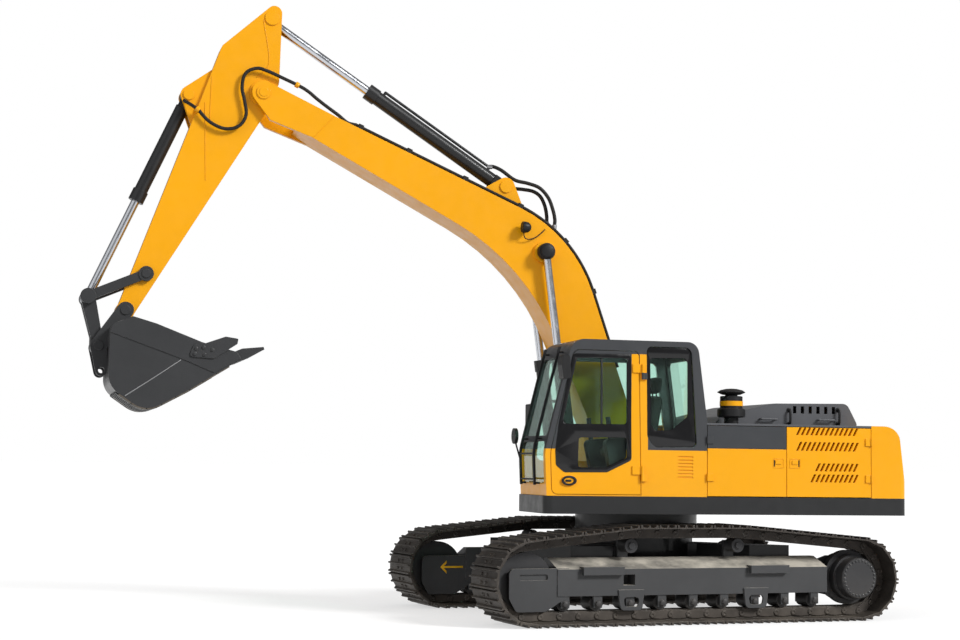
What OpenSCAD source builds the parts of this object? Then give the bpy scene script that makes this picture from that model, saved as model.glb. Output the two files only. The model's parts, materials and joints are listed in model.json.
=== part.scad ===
// Crawler excavator, full size, in millimetres.
// X points forward along the boom, Y to the machine's left and Z up from the floor.
// The upper structure is square to X, and the tracks stand turned under it.

/* [Undercarriage] */
// Turn of the tracks under the upper structure, in degrees
track_turn = 7.2; // [-20:0.1:20]
// Distance between the centre lines of the two tracks
gauge = 2590; // [2400:10:2800]
// Width of a track shoe
shoe_w = 700; // [600:10:800]
// Distance between the idler axle and the sprocket axle
wheel_base = 3910; // [3700:10:4200]
// Height of a track at its ends, over the grousers
track_h = 910; // [860:10:980]
// Height of the three grousers on a shoe
grouser_h = 26; // [15:1:40]
// Thickness of a shoe plate
shoe_t = 14; // [8:1:20]
// Number of shoes on a track
shoe_n = 49; // [40:1:56]
// Height of the chain links under the shoes
link_h = 105; // [90:1:120]
// Width of the chain over its links
chain_w = 190; // [160:5:220]
// Number of bottom rollers on a side
roller_n = 9; // [6:1:10]
// Tread radius of a bottom roller
roller_r = 76; // [65:1:82]
// Tread radius of a carrier roller
carrier_r = 74; // [60:1:85]
// Height of the carrier roller axles
carrier_z = 812; // [780:1:830]
// Forward place of the front carrier roller
carrier_front_x = 751; // [500:1:1000]
// Forward place of the rear carrier roller
carrier_rear_x = -532; // [-1000:1:-300]
// Width of a track frame
frame_w = 350; // [300:10:400]
// Height of a track frame's upper face
frame_z1 = 580; // [540:1:620]
// Radius of a final drive's hub
hub_r = 222; // [180:1:250]
// How far a hub stands out from the middle of its track
hub_out = 272; // [220:1:300]
// Radius of the slew ring
slew_r = 690; // [600:5:760]
// Height of the slew ring's lower face
slew_z = 960; // [940:5:1000]

/* [Upper structure] */
// Height of the deck's underside
deck_z0 = 1143; // [1100:1:1180]
// Height of the deck's upper face
deck_z1 = 1330; // [1300:1:1380]
// Half width of the upper structure
half_w = 1415; // [1350:5:1500]
// Tail radius from the swing axis
tail_r = 2985; // [2800:5:3100]
// Forward place of the deck's front edge
deck_front = 1510; // [1450:5:1600]
// Forward place of the deck's front edge on the right side
right_front = 945; // [900:5:1000]
// Length of the counterweight from its front face to the tail
cw_len = 755; // [700:5:800]
// Height of the house's top
house_z = 2122; // [2050:1:2200]
// Height of the line between the grey band and the yellow below it
belt_z = 1850; // [1700:1:1950]
// Thickness of doors and wall panels
panel_t = 40; // [25:1:60]
// Forward place of the split between the two left doors
split_x = -1222; // [-1400:1:-1000]
// Height of the engine hood over the house's top
hood_h = 262; // [180:1:320]
// Thickness of sheet covers
sheet_t = 12; // [6:1:20]
// Gap round doors
door_gap = 7; // [5:1:12]

/* [Cab] */
// Rear face of the cab
cab_rear = -300; // [-330:5:-280]
// Inner side of the cab, next to the boom
cab_y0 = 440; // [436:1:500]
// Height of the cab roof
cab_z = 2985; // [2850:5:3050]
// Thickness of the cab's walls
wall_t = 40; // [25:1:60]
// Thickness of the panes
pane_t = 8; // [5:1:12]

/* [Working arm] */
// Forward place of the boom's foot pin
foot_x = 166; // [100:1:250]
// Height of the boom's foot pin
foot_z = 1816; // [1780:1:1850]
// Length of the boom between its pins
boom_len = 5701; // [5500:1:5900]
// Angle of the boom's pin line over the floor, in degrees
boom_ang = 42.2; // [38:0.1:46]
// Half width of the boom
boom_hw = 250; // [235:1:252]
// Thickness of the boom's plates
boom_t = 20; // [12:1:28]
// Length of the arm between its pins
arm_len = 2798; // [2600:1:3000]
// Angle of the arm's pin line under the horizon, in degrees
arm_ang = 59.9; // [56:0.1:64]
// Half width of the arm
arm_hw = 175; // [160:1:180]
// Thickness of the arm's plates
arm_t = 18; // [12:1:24]
// Distance of each boom cylinder from the middle plane
boom_cyl_y = 345; // [340:1:350]
// Outer radius of a boom cylinder's barrel
boom_cyl_r = 74; // [65:1:78]
// Radius of a boom cylinder's rod
boom_rod_r = 44; // [35:1:50]
// Outer radius of the arm cylinder's barrel
arm_cyl_r = 80; // [70:1:86]
// Radius of the arm cylinder's rod
arm_rod_r = 52; // [42:1:58]
// Outer radius of the bucket cylinder's barrel
bkt_cyl_r = 72; // [62:1:80]
// Radius of the bucket cylinder's rod
bkt_rod_r = 46; // [38:1:52]
// Radius of the large pins at the boom's foot, the nose and the arm's tip
pin_r = 50; // [40:1:55]
// Half width of the bucket
bucket_hw = 600; // [500:5:700]
// Thickness of the bucket's shell
bucket_t = 24; // [16:1:32]
// Number of bucket teeth
tooth_n = 5; // [3:1:7]
// Side clearance at pins
side_gap = 6; // [5:0.5:7]

/* [Hidden] */
$fn = 48;
// running gap between a seat and what it carries
seat = 0.3;
// radius of the track's plate line at the idler and the sprocket
end_r = track_h / 2 - grouser_h;
axle_z = track_h / 2;
band = shoe_t + link_h;
rail_z = grouser_h + band;
roller_z = rail_z + roller_r + seat;
frame_z0 = roller_z + roller_r + 6;
frame_y0 = gauge / 2 - frame_w / 2;
frame_y1 = gauge / 2 + frame_w / 2;
// gap of the carrier rollers to the chain's flats
carrier_gap = 6;
// circles that the plate line runs round, as x, z and radius
belt_circles = [
    [-wheel_base / 2, axle_z, end_r],
    [wheel_base / 2, axle_z, end_r],
    [carrier_front_x, carrier_z, carrier_r + band + carrier_gap],
    [carrier_rear_x, carrier_z, carrier_r + band + carrier_gap]
];
track_pitch = belt_length(belt_pieces(belt_circles)) / shoe_n;
// idler and sprocket run inside the flats of the chain
wheel_r = (end_r - band) * cos(track_pitch / end_r * 90 / PI) - 3;
cw_x = cw_len - tail_r;
// height of the tool box's flat top
box_z = 1650;
// front post of the hand rail and the rail's radius
rail_x = right_front - 95;
rail_y = 60 - half_w;
rail_r = 19;
// ends of the tanks on the right
tank_rear = -950;
tank_mid = -353;
tank_front = 403;
slew_top = deck_z0 - 30;

// pins of the working arm, as x and z
foot = [foot_x, foot_z];
nose = foot + boom_len * [cos(boom_ang), sin(boom_ang)];
tip = nose + arm_len * [cos(arm_ang), -sin(arm_ang)];
boom_cyl_base = [825, 1268];
boom_rod_pin = [2251, 945];
arm_cyl_base = [3060, 1213];
arm_rod_pin = [-773, 347];
bkt_cyl_base = [442, 658];
guide_pin = [arm_len - 445, 21];
link_pin_rel = [390, 137];
bucket_link_rel = [267, -382];
lift_eye_rel = [234, -642];
link_pin = tip + link_pin_rel;
bucket_link = tip + bucket_link_rel;
// the boom's back: rear end, corner, front end, the bend's radius, its middle and its two ends
boom_heel = [-40, 150];
boom_crown = [2142, 1346];
boom_toe = [boom_len - 61, 140];
boom_bend = 1550;
bend_half = acos(unit(boom_heel - boom_crown) * unit(boom_toe - boom_crown)) / 2;
bend_mid = boom_crown
    + unit(unit(boom_heel - boom_crown) + unit(boom_toe - boom_crown)) * boom_bend / sin(bend_half);
bend_rear = boom_crown + unit(boom_heel - boom_crown) * boom_bend / tan(bend_half);
bend_front = boom_crown + unit(boom_toe - boom_crown) * boom_bend / tan(bend_half);
// pipes on the boom's back, their radius and how far their middles stand off it
pipe_r = 17;
pipe_up = 25;
// machine places of pins given in the boom's and the arm's own axes
boom_rod_at = from_local(boom_rod_pin, foot, boom_ang);
arm_base_at = from_local(arm_cyl_base, foot, boom_ang);
arm_rod_at = from_local(arm_rod_pin, nose, -arm_ang);
bkt_base_at = from_local(bkt_cyl_base, nose, -arm_ang);
guide_at = from_local(guide_pin, nose, -arm_ang);
link_boss_r = 82;
// half the space between the arm's ears
ear_in = 116;
// the origin is under the middle of the whole machine
mid_x = (link_pin[0] + link_boss_r - tail_r) / 2;

yellow = [0.97, 0.68, 0.05];
grey = [0.27, 0.28, 0.29];
black = [0.09, 0.09, 0.1];
steel = [0.75, 0.77, 0.8];
glass = [0.55, 0.68, 0.62, 0.6];

// A point given along and across a line that starts at o and rises by the angle a
function from_local(p, o, a) = o + [p[0] * cos(a) - p[1] * sin(a), p[0] * sin(a) + p[1] * cos(a)];
function unit(v) = v / norm(v);
function angle_of(v) = atan2(v[1], v[0]);
function turn_of(a) = a > 180 ? a - 360 : a < -180 ? a + 360 : a;

// Outline whose corners, given as x, y and radius, are rounded by arcs of n steps
function rounded(pts, n = 8) = [
    for (i = [0:len(pts) - 1])
    let(
        p = [pts[i][0], pts[i][1]],
        r = pts[i][2],
        a = pts[(i + len(pts) - 1) % len(pts)],
        b = pts[(i + 1) % len(pts)],
        u = unit([a[0], a[1]] - p),
        w = unit([b[0], b[1]] - p),
        half = acos(max(-1, min(1, u * w))) / 2
    )
    each r == 0 ? [p] : let(
        c = p + unit(u + w) * r / sin(half),
        a0 = angle_of(p + u * r / tan(half) - c),
        da = turn_of(angle_of(p + w * r / tan(half) - c) - a0)
    ) [for (k = [0:n]) c + r * [cos(a0 + da * k / n), sin(a0 + da * k / n)]]
];

// Belt round circles: the normal's angle of the tangent from circle a to circle b
function tangent_angle(a, b) =
    let(d = [b[0] - a[0], b[1] - a[1]])
    angle_of(d) - acos((a[2] - b[2]) / norm(d));
function belt_pieces(c) = [
    for (i = [0:len(c) - 1])
    let(
        a = c[i],
        b = c[(i + 1) % len(c)],
        e = c[(i + 2) % len(c)],
        p = tangent_angle(a, b),
        q = tangent_angle(b, e),
        d = norm([b[0] - a[0], b[1] - a[1]])
    )
    each [
        [0, [a[0], a[1]] + a[2] * [cos(p), sin(p)], p, sqrt(d * d - (a[2] - b[2]) * (a[2] - b[2]))],
        [1, [b[0], b[1]], p, b[2] * ((q - p + 720) % 360) * PI / 180, b[2]]
    ]
];
function belt_length(s, i = 0) = i == len(s) ? 0 : s[i][3] + belt_length(s, i + 1);
// Point at the distance t along the belt, moved out by h
function belt_point(s, t, h, i = 0) =
    t > s[i][3] && i < len(s) - 1 ? belt_point(s, t - s[i][3], h, i + 1) :
    s[i][0] == 0 ? s[i][1] + t * [cos(s[i][2] + 90), sin(s[i][2] + 90)] + h * [cos(s[i][2]), sin(s[i][2])] :
    let(a = s[i][2] + t / s[i][4] * 180 / PI)
    s[i][1] + (s[i][4] + h) * [cos(a), sin(a)];

// Extrusions of an outline in X and Z, in Y and Z, or in X and Y
module side(y0, y1) {
    translate([0, y1, 0])
        rotate([90, 0, 0])
            linear_extrude(y1 - y0) children();
}
module along_x(x0, x1) {
    translate([x0, 0, 0])
        rotate([90, 0, 90])
            linear_extrude(x1 - x0) children();
}
module plan(z0, z1) {
    translate([0, 0, z0])
        linear_extrude(z1 - z0) children();
}
module both_sides() {
    children();
    mirror([0, 1, 0]) children();
}
// Cylinder along Y at a point given as x and z
module pin(p, r, y0, y1) {
    translate([p[0], y1, p[1]])
        rotate([90, 0, 0])
            cylinder(r = r, h = y1 - y0);
}
module block(x0, x1, y0, y1, z0, z1) {
    translate([x0, y0, z0]) cube([x1 - x0, y1 - y0, z1 - z0]);
}
module rod_between(a, b, r) {
    d = b - a;
    translate(a)
        rotate([0, acos(d[2] / norm(d)), atan2(d[1], d[0])])
            cylinder(r = r, h = norm(d));
}
module tube_run(pts, r) {
    for (i = [0:len(pts) - 2]) rod_between(pts[i], pts[i + 1], r);
    for (i = [1:len(pts) - 2]) translate(pts[i]) sphere(r = r);
}
module placed() {
    translate([-mid_x, 0, 0]) children();
}
module turned() {
    placed() rotate([0, 0, track_turn]) children();
}
module boom_axes() {
    placed()
        translate([foot[0], 0, foot[1]])
            rotate([0, -boom_ang, 0]) children();
}
module arm_axes() {
    placed()
        translate([nose[0], 0, nose[1]])
            rotate([0, arm_ang, 0]) children();
}
module tip_axes() {
    placed() translate([tip[0], 0, tip[1]]) children();
}
// Axes of a cylinder: from its base pin, X toward its rod pin
module cyl_axes(a, b) {
    placed()
        translate([a[0], 0, a[1]])
            rotate([0, -angle_of(b - a), 0]) children();
}

// Undercarriage

module lower_frame() {
    leg_in = frame_y0 - seat;
    color(grey) turned() {
        difference() {
            union() {
                plan(480, 900) circle(r = slew_r - 50, $fn = 128);
                plan(900, slew_z - seat) circle(r = slew_r + 10, $fn = 128);
                both_sides() plan(500, 800) {
                    polygon([[120, 300], [560, 60], [1330, leg_in], [830, leg_in], [480, 560]]);
                    polygon([[-120, 300], [-560, 60], [-1330, leg_in], [-830, leg_in], [-480, 560]]);
                }
                // towing plates with an upright hole
                for (a = [0, 180]) rotate([0, 0, a]) plan(500, 550)
                    polygon(rounded([[500, -100, 0], [840, -100, 80], [840, 100, 80], [500, 100, 0]]));
            }
            plan(430, slew_z) circle(r = slew_r - 330, $fn = 128);
            for (s = [-1, 1]) translate([s * 755, 0, 480]) cylinder(r = 35, h = 90);
        }
    }
}

module slew_ring() {
    color(steel) turned()
        plan(slew_z, slew_top - seat) difference() {
            circle(r = slew_r, $fn = 128);
            circle(r = slew_r - 130, $fn = 128);
        }
}

module frame_section() {
    polygon([[frame_y0, frame_z0], [frame_y1, frame_z0], [frame_y1, frame_z1],
        [frame_y0 + 80, frame_z1 + 105], [frame_y0, frame_z1 + 105]]);
}

module track_frame() {
    mid = gauge / 2;
    end = wheel_base / 2;
    difference() {
        union() {
            along_x(wheel_r + 60 - end, end - wheel_r - 25) frame_section();
            // fork round the idler, with a cover on the outside
            for (y = [frame_y0 + 10, frame_y1 - 45])
                side(y, y + 35)
                    polygon(rounded([[end - 455, frame_z0, 0], [end - 195, 150, 40], [end + 135, 150, 40],
                        [end + 215, 290, 40], [end + 215, 590, 60], [end - 455, 590, 0]]));
            // plate that carries the final drive
            side(frame_y0 + 10, frame_y0 + 50) {
                polygon(rounded([[455 - end, frame_z0, 0], [455 - end, 590, 0], [155 - end, 690, 60],
                    [-end, 640, 0], [-end, 270, 0], [155 - end, 250, 60]]));
                translate([-end, axle_z]) circle(r = 262);
            }
            // feet that hold the roller axles
            for (i = [0:roller_n - 1])
                for (y = [frame_y0 + 15, frame_y1 - 50])
                    block(roller_x(i) - 48, roller_x(i) + 48, y, y + 35, roller_z - 40, frame_z0 + 1);
            // guards round two of the rollers
            for (i = [2, roller_n - 3]) translate([roller_x(i), 0])
                side(frame_y1 - 12, frame_y1 + 16) difference() {
                    polygon(rounded([[-150, frame_z0 + 60, 0], [-125, 150, 50], [125, 150, 50], [150,
                        frame_z0 + 60, 0]]));
                    polygon(rounded([[-95, frame_z0 - 15, 40], [-78, 188, 30], [78, 188, 30], [95,
                        frame_z0 - 15, 40]]));
                }
            // posts of the carrier rollers
            for (x = [carrier_front_x, carrier_rear_x])
                block(x - 60, x + 60, frame_y0 + 20, frame_y0 + 60, frame_z1 - 1, carrier_z + 50);
            // step treads
            for (x = [1130, -850])
                block(x - 235, x + 235, frame_y1 - 60, frame_y1 + 60, frame_z1 - 60, frame_z1 + 25);
        }
        pin([-end, axle_z], 205, frame_y0 - 10, frame_y0 + 80);
        block(745, 880, mid, frame_y1 + 5, 410, 520);
        side(frame_y1 - 30, frame_y1 + 1)
            polygon(rounded([[end - 215, 470, 20], [end + 105, 470, 20], [end + 105, 530, 20],
                [end - 215, 530, 20]]));
    }
}
function roller_x(i) = wheel_base / 2 - 415 - i * (wheel_base - 923) / (roller_n - 1);

module track_frame_left() {
    color(grey) turned() track_frame();
}
module track_frame_right() {
    color(grey) turned() mirror([0, 1, 0]) track_frame();
}

// One track as a closed loop: the plates with three grousers each, on the ring of the chain
module track() {
    s = belt_pieces(belt_circles);
    pitch = track_pitch;
    g = grouser_h;
    shoe = [[0, -shoe_t * 0.7], [0.03, 0], [0.05, g], [0.12, g], [0.16, 0], [0.45, 0], [0.48, g], [0.54, g],
        [0.57, 0], [0.84, 0], [0.88, g], [0.96, g], [0.98, 0]];
    plates = [for (i = [0:shoe_n - 1]) for (q = shoe) belt_point(s, (i + q[0]) * pitch, q[1])];
    inner = [for (i = [0:shoe_n - 1]) belt_point(s, i * pitch, -shoe_t)];
    rail = [for (i = [0:shoe_n - 1]) belt_point(s, i * pitch, -band)];
    side(gauge / 2 - shoe_w / 2, gauge / 2 + shoe_w / 2) difference() {
        polygon(plates);
        polygon(inner);
    }
    side(gauge / 2 - chain_w / 2, gauge / 2 + chain_w / 2) difference() {
        offset(delta = 1) polygon(inner);
        polygon(rail);
    }
}
module track_left() {
    color([0.33, 0.32, 0.31]) turned() track();
}
module track_right() {
    color([0.33, 0.32, 0.31]) turned() mirror([0, 1, 0]) track();
}

module final_drive() {
    mid = gauge / 2;
    at = [-wheel_base / 2, axle_z];
    pin(at, 204, frame_y0 - 60, mid - 34);
    pin(at, wheel_r, mid - 35, mid + 35);
    pin(at, hub_r + 24, mid + 34, mid + 130);
    pin(at, hub_r, mid + 129, mid + hub_out - 12);
    translate([at[0], mid + hub_out, at[1]])
        rotate([90, 0, 0]) cylinder(r1 = hub_r - 12, r2 = hub_r, h = 12);
}
module final_drive_left() {
    color(grey) turned() final_drive();
}
module final_drive_right() {
    color(grey) turned() mirror([0, 1, 0]) final_drive();
}

module roller_set() {
    mid = gauge / 2;
    reach = frame_w / 2 - 50 - seat;
    // bottom rollers with flanges outside the chain
    for (i = [0:roller_n - 1]) {
        at = [roller_x(i), roller_z];
        pin(at, roller_r, mid - 110, mid + 110);
        pin(at, 38, mid - reach, mid + reach);
    }
    for (x = [carrier_front_x, carrier_rear_x]) {
        at = [x, carrier_z];
        pin(at, carrier_r, mid - 90, mid + 90);
        pin(at, 34, frame_y0 + 60 + seat, mid + 110);
    }
    at = [wheel_base / 2, axle_z];
    pin(at, wheel_r, mid - 75, mid + 75);
    pin(at, 120, mid - frame_w / 2 + 45 + seat, mid + frame_w / 2 - 45 - seat);
}
module rollers_left() {
    color(grey) turned() roller_set();
}
module rollers_right() {
    color(grey) turned() mirror([0, 1, 0]) roller_set();
}

// Upper structure

// Plan of the upper structure, pulled in by d
module upper_plan(d) {
    offset(r = 90) offset(delta = -90)
        difference() {
            intersection() {
                circle(r = tail_r - d, $fn = 160);
                translate([-tail_r, -half_w + d]) square([tail_r + deck_front - d, 2 * (half_w - d)]);
            }
            // the right side is shorter, in front of the tool box
            translate([right_front - d, -half_w]) square([deck_front, half_w - 200]);
        }
}
// Space in front, between cab and tool box, that the boom and its cylinders work in
module boom_bay() {
    translate([300, -300]) square([2000, 600]);
    translate([640, -cab_y0]) square([2000, 2 * cab_y0]);
}

module deck() {
    beam = 330;
    color(grey) placed() difference() {
        union() {
            plan(deck_z1 - 30, deck_z1) difference() {
                intersection() {
                    upper_plan(sheet_t + seat);
                    translate([cw_x + seat, -half_w]) square([deck_front - cw_x, 2 * half_w]);
                }
                boom_bay();
            }
            plan(slew_top, deck_z0 + 1) circle(r = slew_r + 10, $fn = 128);
            // long beams and the box that carries the cylinder brackets
            both_sides() block(cw_x + 20, 560, beam - 30, beam, deck_z0, deck_z1 - 29);
            block(480, 620, -432, 432, deck_z0, 1230);
            for (x = [cw_x + 530, -700])
                block(x, x + 30, -half_w + 40, half_w - 40, deck_z0, deck_z1 - 29);
            // boom brackets
            both_sides() side(300, 345)
                polygon(rounded([[-420, deck_z1 - 10, 0], [620, deck_z1 - 10, 0], [foot_x + 190,
                    foot_z + 40, 150],
                    [foot_x, foot_z + 190, 120], [foot_x - 190, foot_z + 40, 150]]));
            // brackets of the boom cylinders
            both_sides() for (y = [[258, 293], [398, 432]])
                side(y[0], y[1]) hull() {
                    translate(boom_cyl_base) circle(r = 100);
                    polygon([[480, deck_z0], [880, deck_z0], [480, 1230]]);
                }
            pin(foot, pin_r, -352, 352);
            both_sides() pin(boom_cyl_base, 45, 250, 438);
        }
        plan(slew_top - 1, deck_z0 + 2) circle(r = slew_r - 130, $fn = 128);
    }
}

module skirts() {
    color(grey) placed() plan(deck_z0, deck_z1) difference() {
        upper_plan(0);
        upper_plan(sheet_t);
        boom_bay();
    }
}

module counterweight() {
    slope = 60;
    color(yellow) placed() difference() {
        union() {
            intersection() {
                rotate_extrude($fn = 160)
                    polygon(rounded([[1500, deck_z1 + seat, 0], [tail_r, deck_z1 + seat, 0], [tail_r,
                        1520, 300],
                        [tail_r - slope, house_z, 170], [1500, house_z, 0]]));
                plan(deck_z1, house_z + 1) intersection() {
                    upper_plan(0);
                    translate([-tail_r, -half_w]) square([tail_r + cw_x, 2 * half_w]);
                }
            }
            plan(deck_z0 + 4, deck_z1 + 1) intersection() {
                upper_plan(sheet_t + seat);
                translate([-tail_r, -half_w]) square([tail_r + cw_x, 2 * half_w]);
            }
        }
        // recess for the air outlet under the tail
        block(cw_x - 220, cw_x + 1, -600, 600, deck_z0, deck_z0 + 120);
    }
}

module engine_block() {
    color(black) placed() block(cw_x + 80, cw_x + 780, -650, 650, deck_z1 + seat, 2040);
}

module house_frame() {
    in = half_w - panel_t - seat;
    post = 35;
    top_t = 22;
    color(grey) placed() {
        difference() {
            union() {
                // top plate with the opening under the hood
                block(cw_x + seat, cab_rear - seat, -half_w, half_w, house_z - top_t, house_z);
                for (x = [cab_rear - post - seat, split_x - post / 2, cw_x + seat])
                    block(x, x + post, 700, in, deck_z1 + seat, house_z - top_t + 1);
                block(cw_x + seat, cw_x + post, -in, -700, deck_z1 + seat, house_z - top_t + 1);
            }
            block(cw_x + 60, -680, -760, 760, house_z - top_t - 1, house_z + 1);
            // clear of the tanks on the right
            block(tank_rear - 10, 100, -half_w - 1, -500, house_z - top_t - 1, house_z + 1);
        }
    }
}

// A tank of sheet, closed below by the deck
module tank(x0, x1) {
    z0 = deck_z1 + seat;
    z1 = house_z - 10;
    difference() {
        side(-half_w, -520) polygon(rounded([[x0, z0, 0], [x1, z0, 0], [x1, z1, 70], [x0, z1, 30]]));
        block(x0 + sheet_t, x1 - sheet_t, -half_w + sheet_t, -520 - sheet_t, z0 - 1, z1 - 70);
    }
}
module right_tanks() {
    color(yellow) placed() {
        tank(tank_mid + 3, tank_front - 3);
        tank(tank_rear, tank_mid - 3);
    }
    color(black) placed() {
        translate([50, -1000, house_z - 30]) cylinder(r = 70, h = 64);
        translate([-660, -1000, house_z - 30]) cylinder(r = 110, h = 50);
    }
}

module tool_box() {
    x0 = tank_front + 3;
    x1 = right_front - 10;
    color(yellow) placed() difference() {
        side(-half_w, -520)
            polygon(rounded([[x0, deck_z1 + seat, 0], [x1, deck_z1 + seat, 0], [x1, box_z, 40], [x0,
                box_z, 0]]));
        block(x0 + sheet_t, x1 - sheet_t, -half_w + 110, -520 - sheet_t, deck_z1, box_z - 50);
        // foot holds in the side
        for (x = [x1 - 290, x1 - 140]) block(x, x + 110, -half_w - 1, -half_w + 90, 1420, 1560);
    }
}

module engine_hood() {
    x0 = -620;
    x1 = cw_x - 110;
    y1 = 840;
    z0 = house_z + seat;
    z1 = house_z + hood_h;
    top = [[x0, z0, 0], [x0 - 60, z0 + 90, 60], [-1300, z1 - 15, 500], [x1 + 120, z1, 90], [x1, z0 + 40,
        60],
        [x1, z0, 0]];
    color(grey) placed() {
        difference() {
            side(-y1, y1) polygon(rounded(top));
            side(-y1 + sheet_t, y1 - sheet_t)
                polygon(rounded([for (p = top) [p[0] + (p[0] > -1000 ? -sheet_t : sheet_t),
                    p[1] - (p[1] > z0 ? sheet_t : 1), p[2]]]));
            // air slots on both sides
            for (s = [-1, 1]) for (i = [0:5])
                block(x1 + 740 - i * 95, x1 + 780 - i * 95, s * y1 - 40, s * y1 + 40, z1 - 120, z1 - 40);
        }
        // grab handles
        for (x = [x1 + 390, x1 + 1090]) translate([x, 0, z0 + 70])
            tube_run([[-90, y1 - 6, 0], [-90, y1 + 50, 0], [90, y1 + 50, 0], [90, y1 - 6, 0]], 12);
        // hinge knuckles at the rear edge
        both_sides() pin([x1, house_z + 14], 12, 300, 420);
    }
}

module precleaner() {
    color(black) placed() translate([-712, 1090, house_z + seat])
        rotate_extrude()
            polygon([[0, 0], [78, 0], [78, 68], [140, 75], [153, 85], [153, 160], [140, 168], [123, 172],
                [123, 300], [112, 306], [68, 306], [68, 318], [100, 322], [152, 345], [152, 352], [120,
                    372],
                [60, 386], [0, 390]]);
}

module exhaust_pipe() {
    rise = 230;
    color(black) placed() translate([cw_x + 330, 355 - half_w, house_z + seat]) {
        difference() {
            union() {
                cylinder(r = 85, h = 30);
                cylinder(r = 62, h = rise);
            }
            translate([0, 0, 30]) cylinder(r = 54, h = rise);
        }
    }
}

module handrails() {
    y = rail_y;
    color(black) placed()
        tube_run([[rail_x, y, box_z + seat], [rail_x, y, 2350], [rail_x - 100, y, 2420], [150, y, 2420],
            [150, y, house_z - 10 + seat]], rail_r);
}

// Cab

module cab_outline(d = 0) {
    offset(delta = -d)
        polygon(rounded([[cab_rear, deck_z1 + seat, 0], [1492, deck_z1 + seat, 0], [1512, 1800, 500],
            [1215, cab_z, 170], [cab_rear + 108, cab_z, 130], [cab_rear, 2150, 400]]));
}
module door_outline(d = 0) {
    offset(delta = -d)
        polygon(rounded([[450, deck_z1 + 20, 0], [1432, deck_z1 + 20, 60], [1448, 1790, 350], [1200,
            2865, 80],
            [480, 2865, 60]]));
}
module rear_pane_outline(d = 0) {
    offset(delta = -d)
        polygon(rounded([[392, 2925, 60], [-120, 2925, 80], [-184, 1860, 50], [300, 1850, 90], [380,
            1960, 90]]));
}
module door_pane_top(d = 0) {
    offset(delta = -d)
        polygon(rounded([[603, 2085, 40], [1335, 2078, 60], [1172, 2790, 50], [605, 2795, 50]]));
}
module door_pane_low(d = 0) {
    offset(delta = -d)
        polygon(rounded([[603, 1733, 50], [603, 1955, 40], [1150, 1950, 40], [1158, 1624, 50], [843,
            1624, 60]]));
}

module inner_pane_outline(d = 0) {
    offset(delta = -d)
        polygon(rounded([[1330, 1700, 60], [1170, 2800, 60], [-60, 2800, 60], [-180, 1900, 60], [500,
            1700, 200]]));
}
module front_pane_outline(d = 0) {
    offset(delta = -d)
        polygon(rounded([[cab_y0 + 70, 1960, 40],
            [half_w - 70, 1960, 40], [half_w - 70, 2800, 60], [cab_y0 + 70, 2800, 60]]));
}
module low_pane_outline(d = 0) {
    offset(delta = -d)
        polygon(rounded([[cab_y0 + 70, 1460, 40],
            [half_w - 70, 1460, 40], [half_w - 70, 1900, 40], [cab_y0 + 70, 1900, 40]]));
}
module back_pane_outline(d = 0) {
    offset(delta = -d)
        polygon(rounded([[cab_y0 + 70, 2050, 60],
            [half_w - 70, 2050, 60], [half_w - 70, 2800, 60], [cab_y0 + 70, 2800, 60]]));
}

module cab_shell() {
    y0 = cab_y0;
    y1 = half_w;
    color(grey) placed() difference() {
        union() {
            side(y0, y1) cab_outline();
            // fixed halves of the door's hinges
            for (z = [1560, 2640]) {
                translate([door_hinge_x, door_hinge_y, z - 70]) cylinder(r = 14, h = 70 - seat);
                block(door_hinge_x - 50, door_hinge_x, y1 - 5, y1 + 26, z - 70, z - seat);
            }
        }
        side(y0 + wall_t, y1 - wall_t) cab_outline(wall_t);
        // louvres of the air inlet
        for (i = [0:6]) block(-140, 30, y1 - 9, y1 + 1, 1530 + i * 36, 1544 + i * 36);
        // door opening and the panes cut through the walls
        side(y1 - wall_t - 1, y1 + 1) door_outline(-door_gap);
        side(y1 - wall_t - 1, y1 + 1) rear_pane_outline();
        side(y0 - 1, y0 + wall_t + 1) inner_pane_outline();
        along_x(900, 1600) front_pane_outline();
        along_x(1300, 1600) low_pane_outline();
        along_x(cab_rear - 10, 0) back_pane_outline();
        // roof hatch
        plan(cab_z - wall_t - 20, cab_z + 1) translate([200, y0 + 160]) square([650, y1 - y0 - 320]);
    }
}

module cab_glass() {
    y0 = cab_y0;
    y1 = half_w;
    g = seat;
    in = wall_t / 2 - pane_t / 2;
    color(glass) placed() {
        side(y1 - in - pane_t, y1 - in) rear_pane_outline(g);
        side(y0 + in, y0 + in + pane_t) inner_pane_outline(g);
        // curved front panes and the rear pane follow the wall
        intersection() {
            side(y0, y1) difference() {
                cab_outline(in);
                cab_outline(in + pane_t);
            }
            union() {
                along_x(900, 1600) front_pane_outline(g);
                along_x(1300, 1600) low_pane_outline(g);
                along_x(cab_rear - 10, 0) back_pane_outline(g);
            }
        }
        translate([200 + g, y0 + 160 + g, cab_z - in - pane_t]) cube([650 - 2 * g, y1 - y0 - 320 - 2 * g,
            pane_t]);
    }
}

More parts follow.
